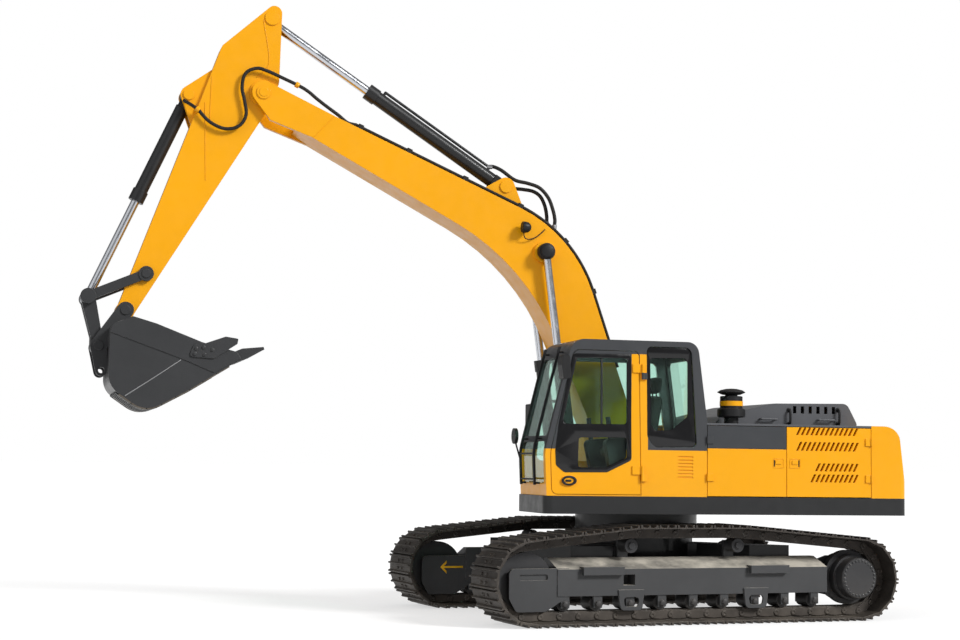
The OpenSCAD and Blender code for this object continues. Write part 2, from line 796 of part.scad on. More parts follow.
door_hinge_x = 440;
door_hinge_y = half_w + 22;
module cab_door() {
    color(yellow) placed() {
        difference() {
            side(half_w - wall_t, half_w) door_outline();
            side(half_w - wall_t - 1, half_w + 1) door_pane_top();
            side(half_w - wall_t - 1, half_w + 1) door_pane_low();
        }
        // hinge leaves that reach out to the hinge line
        for (z = [1560, 2640]) {
            block(door_hinge_x, door_hinge_x + 110, half_w + 3, half_w + 14, z, z + 90);
            block(door_hinge_x + 60, door_hinge_x + 110, half_w - 5, half_w + 14, z, z + 90);
            translate([door_hinge_x, door_hinge_y, z]) cylinder(r = 14, h = 90);
        }
        // handle plate
        side(half_w - 1, half_w + 14)
            translate([1250, 1490]) scale([1.5, 1]) circle(r = 55);
    }
}
module door_glass() {
    in = wall_t / 2 - pane_t / 2;
    color(glass) placed() {
        side(half_w - in - pane_t, half_w - in) door_pane_top(seat);
        side(half_w - in - pane_t, half_w - in) door_pane_low(seat);
    }
}

module seat_chair() {
    mid = (cab_y0 + half_w) / 2;
    floor_z = deck_z1 + seat + wall_t;
    color(black) placed() {
        side(mid - 250, mid + 250)
            polygon(rounded([[150, floor_z + 380, 40], [700, floor_z + 380, 60], [700, floor_z + 490,
                50], [300, floor_z + 500, 60],
                [180, floor_z + 1050, 50], [60, floor_z + 1050, 50]]));
        block(250, 600, mid - 180, mid + 180, floor_z + seat, floor_z + 420);
        side(mid - 130, mid + 130)
            polygon(rounded([[85, floor_z + 980, 0], [150, floor_z + 980, 0], [140, floor_z + 1260, 40],
                [50, floor_z + 1260, 40]]));
    }
}

module consoles() {
    mid = (cab_y0 + half_w) / 2;
    floor_z = deck_z1 + seat + wall_t;
    color(black) placed() {
        for (s = [-1, 1]) translate([0, mid, 0]) {
            side(s * 330 - 55, s * 330 + 55)
                polygon(rounded([[150, floor_z + seat, 0], [700, floor_z + seat, 0], [820, floor_z + 560,
                    60], [150, floor_z + 620, 40]]));
            rod_between([740, s * 330, floor_z + 560], [770, s * 330, floor_z + 800], 26);
            // travel levers and pedals
            block(1140, 1220, s * 90 - 35, s * 90 + 35, floor_z + seat, floor_z + 50);
            rod_between([1178, s * 90, floor_z + 20], [1090, s * 90, floor_z + 700], 16);
        }
    }
}

module mirrors() {
    color(black) placed() {
        // left mirror on its arm at the cab's front pillar
        block(1264, 1292, half_w + seat, half_w + 24, 2630, 2690);
        rod_between([1278, half_w + 14, 2660], [1345, half_w + 90, 2660], 12);
        side(half_w + 70, half_w + 230)
            polygon(rounded([[1300, 2560, 20], [1385, 2535, 25], [1405, 2690, 60], [1395, 2800, 25],
                [1320, 2800, 25]]));
        // guard bars that follow the cab's front, on stubs, with a round mirror
        for (y = [cab_y0 + 230, half_w - 230]) {
            side(y - 13, y + 13) intersection() {
                difference() {
                    cab_outline(-70);
                    cab_outline(-44);
                }
                translate([1150, 1440]) square([600, 1470]);
            }
            for (p = [[1498, 1460], [1483, 1930], [1252, 2850]])
                translate([p[0] + seat, y, p[1]]) rotate([0, 90, 0]) cylinder(r = 11, h = 58);
        }
        for (z = [1500, 1770])
            translate([1556 + (z - 1500) / 24, cab_y0 + 230, z]) rotate([-90, 0, 0])
                cylinder(r = 10, h = half_w - cab_y0 - 460);
        rod_between([1566, cab_y0 + 230, 1700], [1612, cab_y0 + 170, 1910], 9);
        translate([1595, cab_y0 + 165, 1960]) rotate([0, 90, 0]) cylinder(r = 85, h = 34);
        // right mirror on the hand rail
        y = rail_y + rail_r + 14 + seat;
        block(rail_x - 25, rail_x + 50, y - 14, y + 14, 2060, 2110);
        side(y - 90, y + 90)
            polygon(rounded([[rail_x + 25, 2080, 18], [rail_x + 65, 2080, 18], [rail_x + 65, 2380, 18],
                [rail_x + 25, 2380, 18]]));
    }
}

// Doors of the house, flush with its sides
door_z0 = deck_z1 + 10;
door_z1 = house_z - 22 - door_gap;
module service_door_left() {
    x1 = cab_rear - door_gap;
    x0 = split_x + door_gap / 2;
    color(yellow) placed() {
        difference() {
            block(x0, x1, half_w - panel_t, half_w, door_z0, door_z1);
            // groove between the grey band and the yellow below it
            block(x0 - 1, x1 + 1, half_w - 5, half_w + 1, belt_z - 5, belt_z + 5);
        }
        for (z = [1500, 1900]) translate([x1 + 3, half_w + 16, z]) {
            cylinder(r = 12, h = 80);
            translate([-70, -17, 0]) cube([70, 14, 80]);
        }
        block(x0 + 60, x0 + 130, half_w - 1, half_w + 8, 1690, 1730);
    }
}

module cooler_door_left() {
    x1 = split_x - door_gap / 2;
    x0 = cw_x + door_gap;
    color(yellow) placed() {
        difference() {
            block(x0, x1, half_w - panel_t, half_w, door_z0, door_z1);
            // four rows of slanted air slots
            for (row = [[2010, 80, 0], [1840, 95, 0], [1620, 85, 4], [1500, 85, 3]])
                for (i = [row[2]:floor((split_x - x0 - 288) / 56)])
                    side(half_w - panel_t - 1, half_w + 1)
                        translate([split_x - 138 - i * 56, row[0]])
                            polygon([[0, 0], [26, 0], [26 - row[1] * 0.5, row[1]], [-row[1] * 0.5,
                                row[1]]]);
        }
        for (z = [1500, 1900]) translate([x0 - 3, half_w + 16, z]) {
            cylinder(r = 12, h = 80);
            translate([0, -17, 0]) cube([70, 14, 80]);
        }
        block(x1 - 130, x1 - 60, half_w - 1, half_w + 8, 1690, 1730);
    }
}

module pump_door_right() {
    x0 = cw_x + door_gap;
    x1 = tank_rear - door_gap;
    color(yellow) placed() {
        difference() {
            block(x0, x1, -half_w, -half_w + panel_t, door_z0, door_z1);
            for (i = [0:9])
                block(x0 + 323 + i * 56, x0 + 349 + i * 56, -half_w - 1, -half_w + panel_t + 1, 1850, 1990);
        }
        for (z = [1500, 1900]) translate([x0 - 3, -half_w - 16, z]) {
            cylinder(r = 12, h = 80);
            translate([0, 3, 0]) cube([70, 14, 80]);
        }
    }
}

// Working arm

// The boom's side outline, along and across its pin line
module boom_outline() {
    polygon(rounded([[boom_heel[0], boom_heel[1], 0], [boom_crown[0], boom_crown[1], boom_bend],
        [boom_toe[0], boom_toe[1], 0], [boom_len - 141, -60, 0], [boom_len - 601, -10, 0], [2306, 700,
            2600], [430, -150, 500], [0, -150, 0]]));
}
module boom_nose_outline() {
    hull() {
        translate([boom_len, 0]) circle(r = 125);
        polygon([[boom_len - 721, 366], [boom_len - 721, 20], [boom_len - 261, -170], [boom_len - 141,
            -150]]);
    }
}
module boom() {
    in = boom_hw - boom_t;
    fork = arm_hw + 21 + side_gap;
    color(yellow) boom_axes() {
        difference() {
            union() {
                difference() {
                    side(-boom_hw, boom_hw) boom_outline();
                    // hollow box, open at the fork
                    side(-in, in) difference() {
                        offset(delta = -boom_t) boom_outline();
                        translate([-400, -400]) square([640, 900]);
                    }
                    side(-in, in) translate([boom_len - 521, -500]) square([900, 1000]);
                }
                both_sides() side(fork, boom_hw + 8) boom_nose_outline();
                // cylinder boss and foot tube
                both_sides() pin(boom_rod_pin, 120, boom_hw - 1, boom_cyl_y - 45 - side_gap);
                pin([0, 0], 150, -294, 294);
                // lugs of the arm cylinder
                both_sides() side(95, 135) hull() {
                    translate(arm_cyl_base) circle(r = 105);
                    polygon([[2640, 1125], [3260, 925], [3200, 900], [2640, 1100]]);
                }
                both_sides() pin(arm_cyl_base, 70, 134, 150);
            }
            pin([0, 0], pin_r + seat, -400, 400);
        }
        // nose pin
        pin([boom_len, 0], pin_r, -boom_hw - 25, boom_hw + 25);
        both_sides() pin([boom_len, 0], pin_r + 26, boom_hw + 7, boom_hw + 20);
    }
}

module boom_lamp() {
    at = [2600, 985];
    color(black) boom_axes() {
        pin(at, 14, boom_hw + seat, boom_hw + 60);
        // round bowl that shines forward
        translate([at[0], boom_hw + 85, at[1]]) rotate([0, boom_ang + 90, 0])
            rotate_extrude() polygon([[0, -52], [34, -48], [56, -24], [64, 14], [64, 44], [54, 52], [0,
                52]]);
    }
}

module boom_pipes() {
    color(grey) boom_axes() {
        r = boom_bend + pipe_up;
        front = angle_of(bend_front - bend_mid);
        rear = angle_of(bend_rear - bend_mid);
        both_sides() {
            for (y = [172, 220]) {
                translate([bend_mid[0], y, bend_mid[1]]) rotate([90, 0, 0]) rotate([0, 0, front])
                    rotate_extrude(angle = rear - front, $fn = 96) translate([r, 0]) circle(r = pipe_r);
                for (e = [[bend_front, front, 2050], [bend_rear, rear, 900]])
                    let(a = e[0] + pipe_up * [cos(e[1]), sin(e[1])], d = unit(e[0] - boom_crown))
                        rod_between([a[0] - d[0], y, a[1] - d[1]], [a[0] + d[0] * e[2], y,
                            a[1] + d[1] * e[2]], pipe_r);
            }
            // clamps on the bend, before it and after it
            for (a = [front, (front + rear) / 2, rear])
                translate([bend_mid[0], 0, bend_mid[1]]) rotate([0, -a, 0])
                    block(boom_bend + 1, boom_bend + 2 * pipe_up, 146, 246, -30, 30);
            for (e = [[bend_front, front, 700], [bend_front, front, 1400], [bend_front, front, 2000],
                [bend_rear, rear, 800]])
                let(d = unit(e[0] - boom_crown), p = e[0] + d * e[2])
                    translate([p[0], 0, p[1]]) rotate([0, -e[1], 0]) block(1, 2 * pipe_up, 146, 246, -30,
                        30);
        }
    }
}

// A barrel with its base eye, from the base pin along X
module barrel(len, r, eye_r, eye_hw, bore) {
    difference() {
        union() {
            pin([0, 0], eye_r, -eye_hw, eye_hw);
            block(0, eye_r + 60, -eye_hw, eye_hw, -r * 0.8, r * 0.8);
            translate([eye_r + 50, 0, 0]) rotate([0, 90, 0]) cylinder(r = r, h = len - eye_r - 50);
            translate([len - 130, 0, 0]) rotate([0, 90, 0]) cylinder(r = r + 12, h = 130);
        }
        if (bore > 0) pin([0, 0], bore, -eye_hw - 1, eye_hw + 1);
        translate([eye_r + 80, 0, 0]) rotate([0, 90, 0]) cylinder(r = r - 14, h = len - eye_r - 210);
    }
}
// The hole that the rod slides in
module rod_hole(len, rod_r) {
    translate([len - 200, 0, 0]) rotate([0, 90, 0]) cylinder(r = rod_r + seat, h = 201);
}
// A rod with its eye at the distance d, its end at the distance s
module rod(s, d, r, eye_r, eye_hw) {
    translate([s, 0, 0]) rotate([0, 90, 0]) cylinder(r = r, h = d - eye_r * 0.7 - s);
    pin([d, 0], eye_r, -eye_hw, eye_hw);
}

boom_cyl_len = norm(boom_rod_at - boom_cyl_base);
arm_cyl_len = norm(arm_rod_at - arm_base_at);
bkt_cyl_len = norm(link_pin - bkt_base_at);
boom_barrel_len = 1600;
arm_barrel_len = 1880;
bkt_barrel_len = 1290;
// where each rod's inner end stands in its barrel at rest
boom_rod_in = 1170;
arm_rod_in = 1010;
bkt_rod_in = 860;

module boom_barrel(y) {
    cyl_axes(boom_cyl_base, boom_rod_at) translate([0, y, 0]) difference() {
        barrel(boom_barrel_len, boom_cyl_r, 92, 45, 45 + seat);
        rod_hole(boom_barrel_len, boom_rod_r);
    }
}
module boom_rod(y) {
    out = y > 0 ? 1 : -1;
    cyl_axes(boom_cyl_base, boom_rod_at) translate([0, y, 0]) {
        rod(boom_rod_in, boom_cyl_len, boom_rod_r, 88, 45);
        pin([boom_cyl_len, 0], 74, out > 0 ? 44 : -70, out > 0 ? 70 : -44);
    }
}
module boom_barrel_left() {
    color(grey) boom_barrel(boom_cyl_y);
}
module boom_barrel_right() {
    color(grey) boom_barrel(-boom_cyl_y);
}
module boom_rod_left() {
    color(steel) boom_rod(boom_cyl_y);
}
module boom_rod_right() {
    color(steel) boom_rod(-boom_cyl_y);
}

module arm_barrel() {
    color(grey) cyl_axes(arm_base_at, arm_rod_at) {
        difference() {
            barrel(arm_barrel_len, arm_cyl_r, 98, 95 - seat, 0);
            rod_hole(arm_barrel_len, arm_rod_r);
        }
        // supply pipe on its top
        tube_run([[260, 0, arm_cyl_r - 5], [260, 0, arm_cyl_r + 30], [arm_barrel_len - 180, 0,
            arm_cyl_r + 30],
            [arm_barrel_len - 180, 0, arm_cyl_r - 5]], 16);
    }
}
module arm_rod() {
    color(steel) cyl_axes(arm_base_at, arm_rod_at) rod(arm_rod_in, arm_cyl_len, arm_rod_r, 98,
        ear_in - seat);
}

// The arm's side outline, along and across its pin line
module arm_outline() {
    polygon(rounded([[-921, 413, 80], [-206, 640, 60], [520, 505, 500], [arm_len - 20, 94, 0],
        [arm_len - 20, -98, 0], [170, -140, 300], [-190, -95, 200], [-910, 302, 80]]));
}
module arm() {
    in = arm_hw - arm_t;
    color(yellow) arm_axes() {
        difference() {
            union() {
                difference() {
                    side(-arm_hw, arm_hw) arm_outline();
                    side(-in, in) difference() {
                        offset(delta = -arm_t) arm_outline();
                        translate([-1200, -600]) square([830, 1800]);
                        translate([arm_len - 158, -300]) square([600, 600]);
                    }
                    // room for the rod's eye between the ears
                    side(-ear_in, ear_in) translate([-1300, -500]) square([931, 1800]);
                }
                pin([0, 0], 145, -arm_hw - 21, arm_hw + 21);
                pin([arm_len, 0], 100, -arm_hw - 1, arm_hw + 1);
                both_sides() pin(arm_rod_pin, 80, arm_hw - 1, arm_hw + 14);
                // lugs of the bucket cylinder
                both_sides() side(90, 130) hull() {
                    translate(bkt_cyl_base) circle(r = 90);
                    polygon([[60, 588], [720, 465], [700, 440], [60, 560]]);
                }
                both_sides() pin(bkt_cyl_base, 60, 129, 145);
            }
            pin([0, 0], pin_r + seat, -300, 300);
            pin([arm_len, 0], pin_r + seat, -300, 300);
        }
        // pivot of the side links
        both_sides() pin(guide_pin, 40, arm_hw - 1, arm_hw + side_gap + 58);
    }
}

module bucket_barrel() {
    color(grey) cyl_axes(bkt_base_at, link_pin) difference() {
        barrel(bkt_barrel_len, bkt_cyl_r, 86, 90 - seat, 0);
        rod_hole(bkt_barrel_len, bkt_rod_r);
    }
}
module bucket_rod() {
    color(steel) cyl_axes(bkt_base_at, link_pin) rod(bkt_rod_in, bkt_cyl_len, bkt_rod_r, 80, 62);
}

module side_links() {
    y0 = arm_hw + side_gap;
    color(grey) placed() both_sides() difference() {
        union() {
            side(y0, y0 + 40) hull() {
                translate(guide_at) circle(r = 50);
                translate(link_pin) circle(r = 50);
            }
            pin(link_pin, link_boss_r, y0, y0 + 58);
            pin(guide_at, 80, y0, y0 + 50);
        }
        pin(guide_at, 40 + seat, y0 - 1, y0 + 70);
    }
}

module h_link() {
    out = arm_hw;
    a = link_pin;
    b = bucket_link;
    d = norm(b - a);
    color(grey) placed() difference() {
        union() {
            both_sides() side(62 + seat, out) hull() {
                translate(a) circle(r = 76);
                translate(a + unit(b - a) * (d - 120)) circle(r = 60);
            }
            side(-out, out) hull() {
                translate(b) circle(r = 84);
                translate(a + unit(b - a) * (d - 150)) circle(r = 50);
            }
        }
        pin(b, pin_r + seat, -out - 1, out + 1);
    }
}

// Bucket, about the arm's tip pin, with its mouth up and to the rear
bucket_lip = [-1190, -505];
bucket_back = [[bucket_lip[0], bucket_lip[1], 0], [-640, -850, 300], [-210, -1085, 260], [175, -820, 220],
    [170, -180, 90], [-60, -92, 0]];
bucket_mouth = [[-300, -160, 300], [-779, -342, 300], [-1145, -434, 30]];
// height of the cheek plates over the bucket's sides
cheek = 9;
module bucket_side() {
    polygon(rounded(concat(bucket_back, bucket_mouth)));
}
module bucket_ear() {
    hull() {
        circle(r = 88);
        translate(bucket_link_rel) circle(r = 88);
        polygon([[-120, -120], [60, -300]]);
    }
    hull() {
        translate(bucket_link_rel) circle(r = 88);
        translate(lift_eye_rel) circle(r = 62);
        polygon([[140, -250], [140, -700]]);
    }
}
module bucket() {
    ear0 = arm_hw + side_gap;
    lip = unit([-0.947, 0.32]);
    color(grey) tip_axes() {
        difference() {
            union() {
                difference() {
                    side(-bucket_hw, bucket_hw) bucket_side();
                    // hollow, open at the mouth
                    side(-bucket_hw + bucket_t, bucket_hw - bucket_t)
                        translate(bucket_t * [-0.35, 1])
                            polygon(rounded(concat([for (p = bucket_back)
                                [p[0] - (p[0] > 0 ? bucket_t * 0.7 : 0), p[1], p[2]]],
                                [[-60, 500, 0], [-1400, 500, 0], [-1500, -450, 0]])));
                }
                both_sides() side(ear0, ear0 + 50) bucket_ear();
                // side cutters
                both_sides() side(bucket_hw - 1, bucket_hw + 25)
                    polygon(rounded([[-690, -368, 30], [-810, -352, 30], [-1016, -277, 20], [-1150, -296,
                        12], [-1140, -352, 12], [-900, -511, 20], [-640, -497, 30]]));
                // cheek plates along the mouth
                both_sides() side(bucket_hw - 1, bucket_hw + cheek) intersection() {
                    offset(delta = -6) bucket_side();
                    polygon([[300, -216], [-583, -526], [-905, -656], bucket_lip, [-1300, -300], [0, 200],
                        [300, 0]]);
                }
                // wear strips under the bottom
                for (i = [0:4]) translate([0, -480 + i * 240 - 40, 0])
                    side(0, 80) intersection() {
                        difference() {
                            offset(delta = 16) bucket_side();
                            offset(delta = -2) bucket_side();
                        }
                        translate([-1000, -1250]) square([1100, 540]);
                    }
                // teeth on the lip
                for (i = [0:tooth_n - 1])
                    translate([bucket_lip[0] + 40, -bucket_hw + 70 + i * (2 * bucket_hw - 140)
                        / (tooth_n - 1), bucket_lip[1] + 27])
                        rotate([0, angle_of(lip) > 0 ? -angle_of(lip) : 0, 0])
                            side(-48, 48) polygon([[-60, -52], [70, -64], [292, -14], [292, 14], [90, 54],
                                [-60, 50]]);
            }
            pin(lift_eye_rel, 32, -400, 400);
            pin([0, 0], 300, -arm_hw - side_gap, arm_hw + side_gap);
        }
        // pins of the arm and of the link
        pin([0, 0], pin_r, -ear0 - 62, ear0 + 62);
        pin(bucket_link_rel, pin_r, -ear0 - 62, ear0 + 62);
    }
}

lower_frame();
slew_ring();
track_frame_left();
track_frame_right();
track_left();
track_right();
final_drive_left();
final_drive_right();
rollers_left();
rollers_right();
deck();
skirts();
counterweight();
engine_block();
house_frame();
right_tanks();
tool_box();
engine_hood();
precleaner();
exhaust_pipe();
handrails();
cab_shell();
cab_glass();
cab_door();
door_glass();
seat_chair();
consoles();
mirrors();
service_door_left();
cooler_door_left();
pump_door_right();
boom();
boom_lamp();
boom_pipes();
boom_barrel_left();
boom_barrel_right();
boom_rod_left();
boom_rod_right();
arm_barrel();
arm_rod();
arm();
bucket_barrel();
bucket_rod();
side_links();
h_link();
bucket();
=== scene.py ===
"""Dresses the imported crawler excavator: paint, glass, hoses, bolts, trim, and the studio round it."""

import json
import logging
import math
from dataclasses import dataclass, field
from enum import Enum

import bmesh
import bpy
from mathutils import Matrix, Vector


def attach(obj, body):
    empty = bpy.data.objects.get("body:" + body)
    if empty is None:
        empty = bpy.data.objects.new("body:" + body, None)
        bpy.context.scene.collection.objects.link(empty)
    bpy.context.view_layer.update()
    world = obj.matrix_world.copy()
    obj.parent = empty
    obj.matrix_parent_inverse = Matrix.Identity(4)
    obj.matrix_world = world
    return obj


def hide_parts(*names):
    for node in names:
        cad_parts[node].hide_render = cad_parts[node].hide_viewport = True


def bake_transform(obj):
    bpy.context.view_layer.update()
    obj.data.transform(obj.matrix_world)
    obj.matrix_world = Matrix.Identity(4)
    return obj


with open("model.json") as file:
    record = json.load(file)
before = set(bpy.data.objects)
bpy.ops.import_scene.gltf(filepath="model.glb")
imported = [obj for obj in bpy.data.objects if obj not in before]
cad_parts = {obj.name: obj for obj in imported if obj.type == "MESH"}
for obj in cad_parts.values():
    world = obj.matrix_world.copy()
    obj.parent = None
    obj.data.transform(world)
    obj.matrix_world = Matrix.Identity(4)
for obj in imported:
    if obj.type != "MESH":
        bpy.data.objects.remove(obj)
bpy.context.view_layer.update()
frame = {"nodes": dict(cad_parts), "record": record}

Mesh = bpy.types.Mesh
Socket = bpy.types.NodeSocket
Tree = bpy.types.NodeTree
LOG = logging.getLogger("excavator")
Colour = tuple[float, float, float]
Place = tuple[float, float, float]
Loop = list[tuple[float, float]]
Outline = tuple[tuple[float, float], ...]
MM = 1000.0  # millimetres in a metre
FAR = 9000.0  # beyond the machine on every side, in millimetres
UP = Vector((0, 0, 1))
TRACK_TURN = math.radians(7.2)
JOINTS = {j["name"]: Vector(j["pos_m"]) for j in frame["record"]["behaviour"]["joints"]}
SWING = JOINTS["swing"]
FOOT = JOINTS["boom_raise"]
NOSE = JOINTS["arm_swing"]
TIP = JOINTS["bucket_tilt"]


def upper(x: float, y: float, z: float) -> Vector:
    """Place on the upper structure, in millimetres from the swing axis, as a point of the frame."""
    return Vector((SWING.x + x / MM, y / MM, z / MM))


def lower(x: float, y: float, z: float) -> Vector:
    """Place on the tracks, in millimetres from the swing axis, as a point of the frame."""
    turned = Matrix.Rotation(TRACK_TURN, 3, "Z") @ Vector((x / MM, y / MM, z / MM))
    return Vector((SWING.x, 0, 0)) + turned


def track_way(x: float, y: float, z: float) -> Vector:
    """Direction in the tracks' own axes, as a direction of the frame."""
    return lower(MM * x, MM * y, MM * z) - lower(0, 0, 0)


def along(start: Vector, end: Vector, u: float, y: float, v: float) -> Vector:
    """Point u millimetres along a line of pins, v across it and y to the left."""
    line = (end - start).normalized()
    across = Vector((-line.z, 0, line.x))
    return start + line * (u / MM) + across * (v / MM) + Vector((0, y / MM, 0))


def turns(count: int) -> list[float]:
    """Even angles round a circle."""
    return [math.tau * k / count for k in range(count)]


def facing(normal: Vector, ahead: Vector) -> Matrix:
    """Turn whose third axis is the normal and whose first lies along ahead."""
    z_axis = normal.normalized()
    x_axis = (ahead - z_axis * ahead.dot(z_axis)).normalized()
    return Matrix((x_axis, z_axis.cross(x_axis), z_axis)).transposed()


def added(name: str, data: bpy.types.ID) -> bpy.types.Object:
    """New object, put in the scene."""
    thing = bpy.data.objects.new(name, data)
    bpy.context.collection.objects.link(thing)
    return thing


def baked(thing: bpy.types.Object) -> Mesh:
    """Mesh that an object's curve or modifiers give. The object itself goes."""
    mesh = bpy.data.meshes.new_from_object(thing.evaluated_get(bpy.context.evaluated_depsgraph_get()))
    thing.modifiers.clear()
    bpy.data.objects.remove(thing)
    return mesh


class Wiring:
    """Adds nodes to one tree and joins their sockets."""

    def __init__(self, tree: Tree) -> None:
        """Keeps the tree that the nodes go in."""
        self.tree = tree

    def feed(self, node: bpy.types.Node, inputs: dict) -> None:
        """Gives a node's inputs their values.

        Args:
            node: the node.
            inputs: values, or sockets to join, by the input's name or number.
        """
        for key, value in inputs.items():
            if isinstance(value, Socket):
                self.tree.links.new(value, node.inputs[key])
            else:
                node.inputs[key].default_value = value

    def add(self, kind: str, inputs: dict | None = None, **settings) -> bpy.types.Node:
        """Adds one node.

        Args:
            kind: Blender's identifier of the node.
            inputs: values, or sockets to join, by the input's name or number.
            settings: the node's own properties.

        Returns:
            The new node.
        """
        node = self.tree.nodes.new(kind)
        for key, value in settings.items():
            setattr(node, key, value)
        self.feed(node, inputs or {})
        return node

    def math(self, operation: str, *values) -> Socket:
        """Result of one sum on values or sockets."""
        return self.add("ShaderNodeMath", dict(enumerate(values)), operation=operation).outputs[0]

    def mix(self, factor, a, b, blend: str = "MIX") -> Socket:
        """Mix of two colours by the second's share, each a value or a socket."""
        inputs = {0: factor, 6: a, 7: b}
        return self.add("ShaderNodeMix", inputs, data_type="RGBA", blend_type=blend).outputs[2]

    def spread(self, value, low, high, to_low=0.0, to_high=1.0) -> Socket:
        """Value spread from one range to another and held inside it."""
        inputs = {0: value, 1: low, 2: high, 3: to_low, 4: to_high}
        return self.add("ShaderNodeMapRange", inputs).outputs[0]

    def place(self) -> Socket:
        """Object coordinates."""
        return self.add("ShaderNodeTexCoord").outputs["Object"]

    def noise(self, scale, detail: float = 3.0, rough: float = 0.55) -> Socket:
        """Even noise on Object coordinates."""
        inputs = {"Vector": self.place(), "Scale": scale, "Detail": detail, "Roughness": rough}
        return self.add("ShaderNodeTexNoise", inputs).outputs["Fac"]


def new_material(name: str) -> tuple[bpy.types.Material, Wiring]:
    """Node material and the wiring of its tree."""
    material = bpy.data.materials.new(name)
    material.use_nodes = True
    return material, Wiring(material.node_tree)


class Effect(Enum):
    """Surface effects that several finishes share."""

    TONE = "patchy_tone"
    EDGES = "rubbed_edges"
    DUST = "settled_dust"
    GRAIN = "fine_grain"


class EffectShop:
    """Makes each shared effect once, as a node group."""

    number = "NodeSocketFloat"
    vector = "NodeSocketVector"

    def __init__(self) -> None:
        """Makes the four groups."""
        self.trees = {
            Effect.TONE: self.tone(),
            Effect.EDGES: self.edges(),
            Effect.DUST: self.dust(),
            Effect.GRAIN: self.grain(),
        }

    def start(self, effect: Effect, inputs: dict[str, float],
              outputs: dict[str, str]) -> tuple[Wiring, bpy.types.NodeOutputs, bpy.types.Node]:
        """Opens a group.

        Args:
            effect: which effect it is.
            inputs: its inputs and their usual values.
            outputs: its outputs and their kinds.

        Returns:
            The wiring, the sockets of the inputs and the output node.
        """
        tree = bpy.data.node_groups.new(effect.value, "ShaderNodeTree")
        for name, value in inputs.items():
            socket = tree.interface.new_socket(name=name, in_out="INPUT", socket_type=self.number)
            socket.default_value = value
        for name, kind in outputs.items():
            tree.interface.new_socket(name=name, in_out="OUTPUT", socket_type=kind)
        wire = Wiring(tree)
        return wire, wire.add("NodeGroupInput").outputs, wire.add("NodeGroupOutput")

    def tone(self) -> Tree:
        """Slow change of lightness over a painted face."""
        wire, given, out = self.start(Effect.TONE, {"Scale": 1.2, "Depth": 0.08}, {"Tone": self.number})
        wide = wire.noise(given["Scale"], 2.0)
        close = wire.noise(wire.math("MULTIPLY", given["Scale"], 9.0), 4.0)
        both = wire.math("ADD", wire.math("MULTIPLY", wide, 0.7), wire.math("MULTIPLY", close, 0.3))
        swing = wire.math("MULTIPLY", wire.spread(both, 0.3, 0.7, -1.0, 1.0), given["Depth"])
        wire.feed(out, {"Tone": wire.math("ADD", swing, 1.0)})
        return wire.tree

    def edges(self) -> Tree:
        """Mask of rubbed edges, and a normal that rounds them."""
        inputs = {"Radius": 0.008, "Amount": 0.3, "Scale": 14.0}
        wire, given, out = self.start(Effect.EDGES, inputs, {"Mask": self.number, "Normal": self.vector})
        round_off = wire.add("ShaderNodeBevel", {"Radius": given["Radius"]}, samples=4).outputs[0]
        true = wire.add("ShaderNodeNewGeometry").outputs["Normal"]
        turn = wire.add("ShaderNodeVectorMath", {0: round_off, 1: true}, operation="DOT_PRODUCT")
        edge = wire.spread(turn.outputs["Value"], 0.99, 0.8)
        chips = wire.spread(wire.noise(given["Scale"], 5.0, 0.7), 0.45, 0.6)
        mask = wire.math("MULTIPLY", wire.math("MULTIPLY", edge, chips), given["Amount"])
        wire.feed(out, {"Mask": mask, "Normal": round_off})
        return wire.tree

    def dust(self) -> Tree:
        """Mask of dust that lies on upward faces and thickens near the ground."""
        inputs = {"Amount": 0.3, "Reach": 1.2, "Scale": 3.0}
        wire, given, out = self.start(Effect.DUST, inputs, {"Mask": self.number})
        normal = wire.add("ShaderNodeNewGeometry").outputs["Normal"]
        up = wire.add("ShaderNodeSeparateXYZ", {0: normal}).outputs[2]
        height = wire.add("ShaderNodeSeparateXYZ", {0: wire.place()}).outputs[2]
        low = wire.spread(height, 0.0, given["Reach"], 0.45, 0.0)
        flat = wire.spread(up, 0.5, 1.0, 0.0, 0.9)
        cloud = wire.spread(wire.noise(given["Scale"], 5.0, 0.6), 0.35, 0.7, 0.2, 1.0)
        cover = wire.math("MULTIPLY", wire.math("ADD", low, flat), cloud)
        wire.feed(out, {"Mask": wire.math("MULTIPLY", cover, given["Amount"])})
        return wire.tree

    def grain(self) -> Tree:
        """Fine unevenness of a coat or a casting."""
        outputs = {"Height": self.number, "Share": self.number}
        wire, given, out = self.start(Effect.GRAIN, {"Scale": 300.0}, outputs)
        wide = wire.math("MULTIPLY", given["Scale"], 0.03)
        wire.feed(out, {"Height": wire.noise(given["Scale"], 2.0), "Share": wire.noise(wide, 3.0)})
        return wire.tree

    def place(self, wire: Wiring, effect: Effect, **values) -> bpy.types.NodeOutputs:
        """Puts an effect in a material and gives the group's outputs."""
        return wire.add("ShaderNodeGroup", values, node_tree=self.trees[effect]).outputs


@dataclass(frozen=True)
class Zone:
    """A box, in millimetres from the swing axis, that a second colour fills."""

    x: tuple[float, float] = (-FAR, FAR)
    y: tuple[float, float] = (-FAR, FAR)
    z: tuple[float, float] = (-FAR, FAR)

    def mask(self, wire: Wiring) -> Socket:
        """Socket that is 1 inside the box and 0 outside it.

        Args:
            wire: the material's wiring.

        Returns:
            The mask.
        """
        parts = wire.add("ShaderNodeSeparateXYZ", {0: wire.place()}).outputs
        shift = (SWING.x, 0.0, 0.0)
        inside = None
        for number, (low, high) in enumerate((self.x, self.y, self.z)):
            for bound, test in ((low, "GREATER_THAN"), (high, "LESS_THAN")):
                if abs(bound) < FAR:
                    step = wire.math(test, parts[number], bound / MM + shift[number])
                    inside = step if inside is None else wire.math("MULTIPLY", inside, step)
        return inside


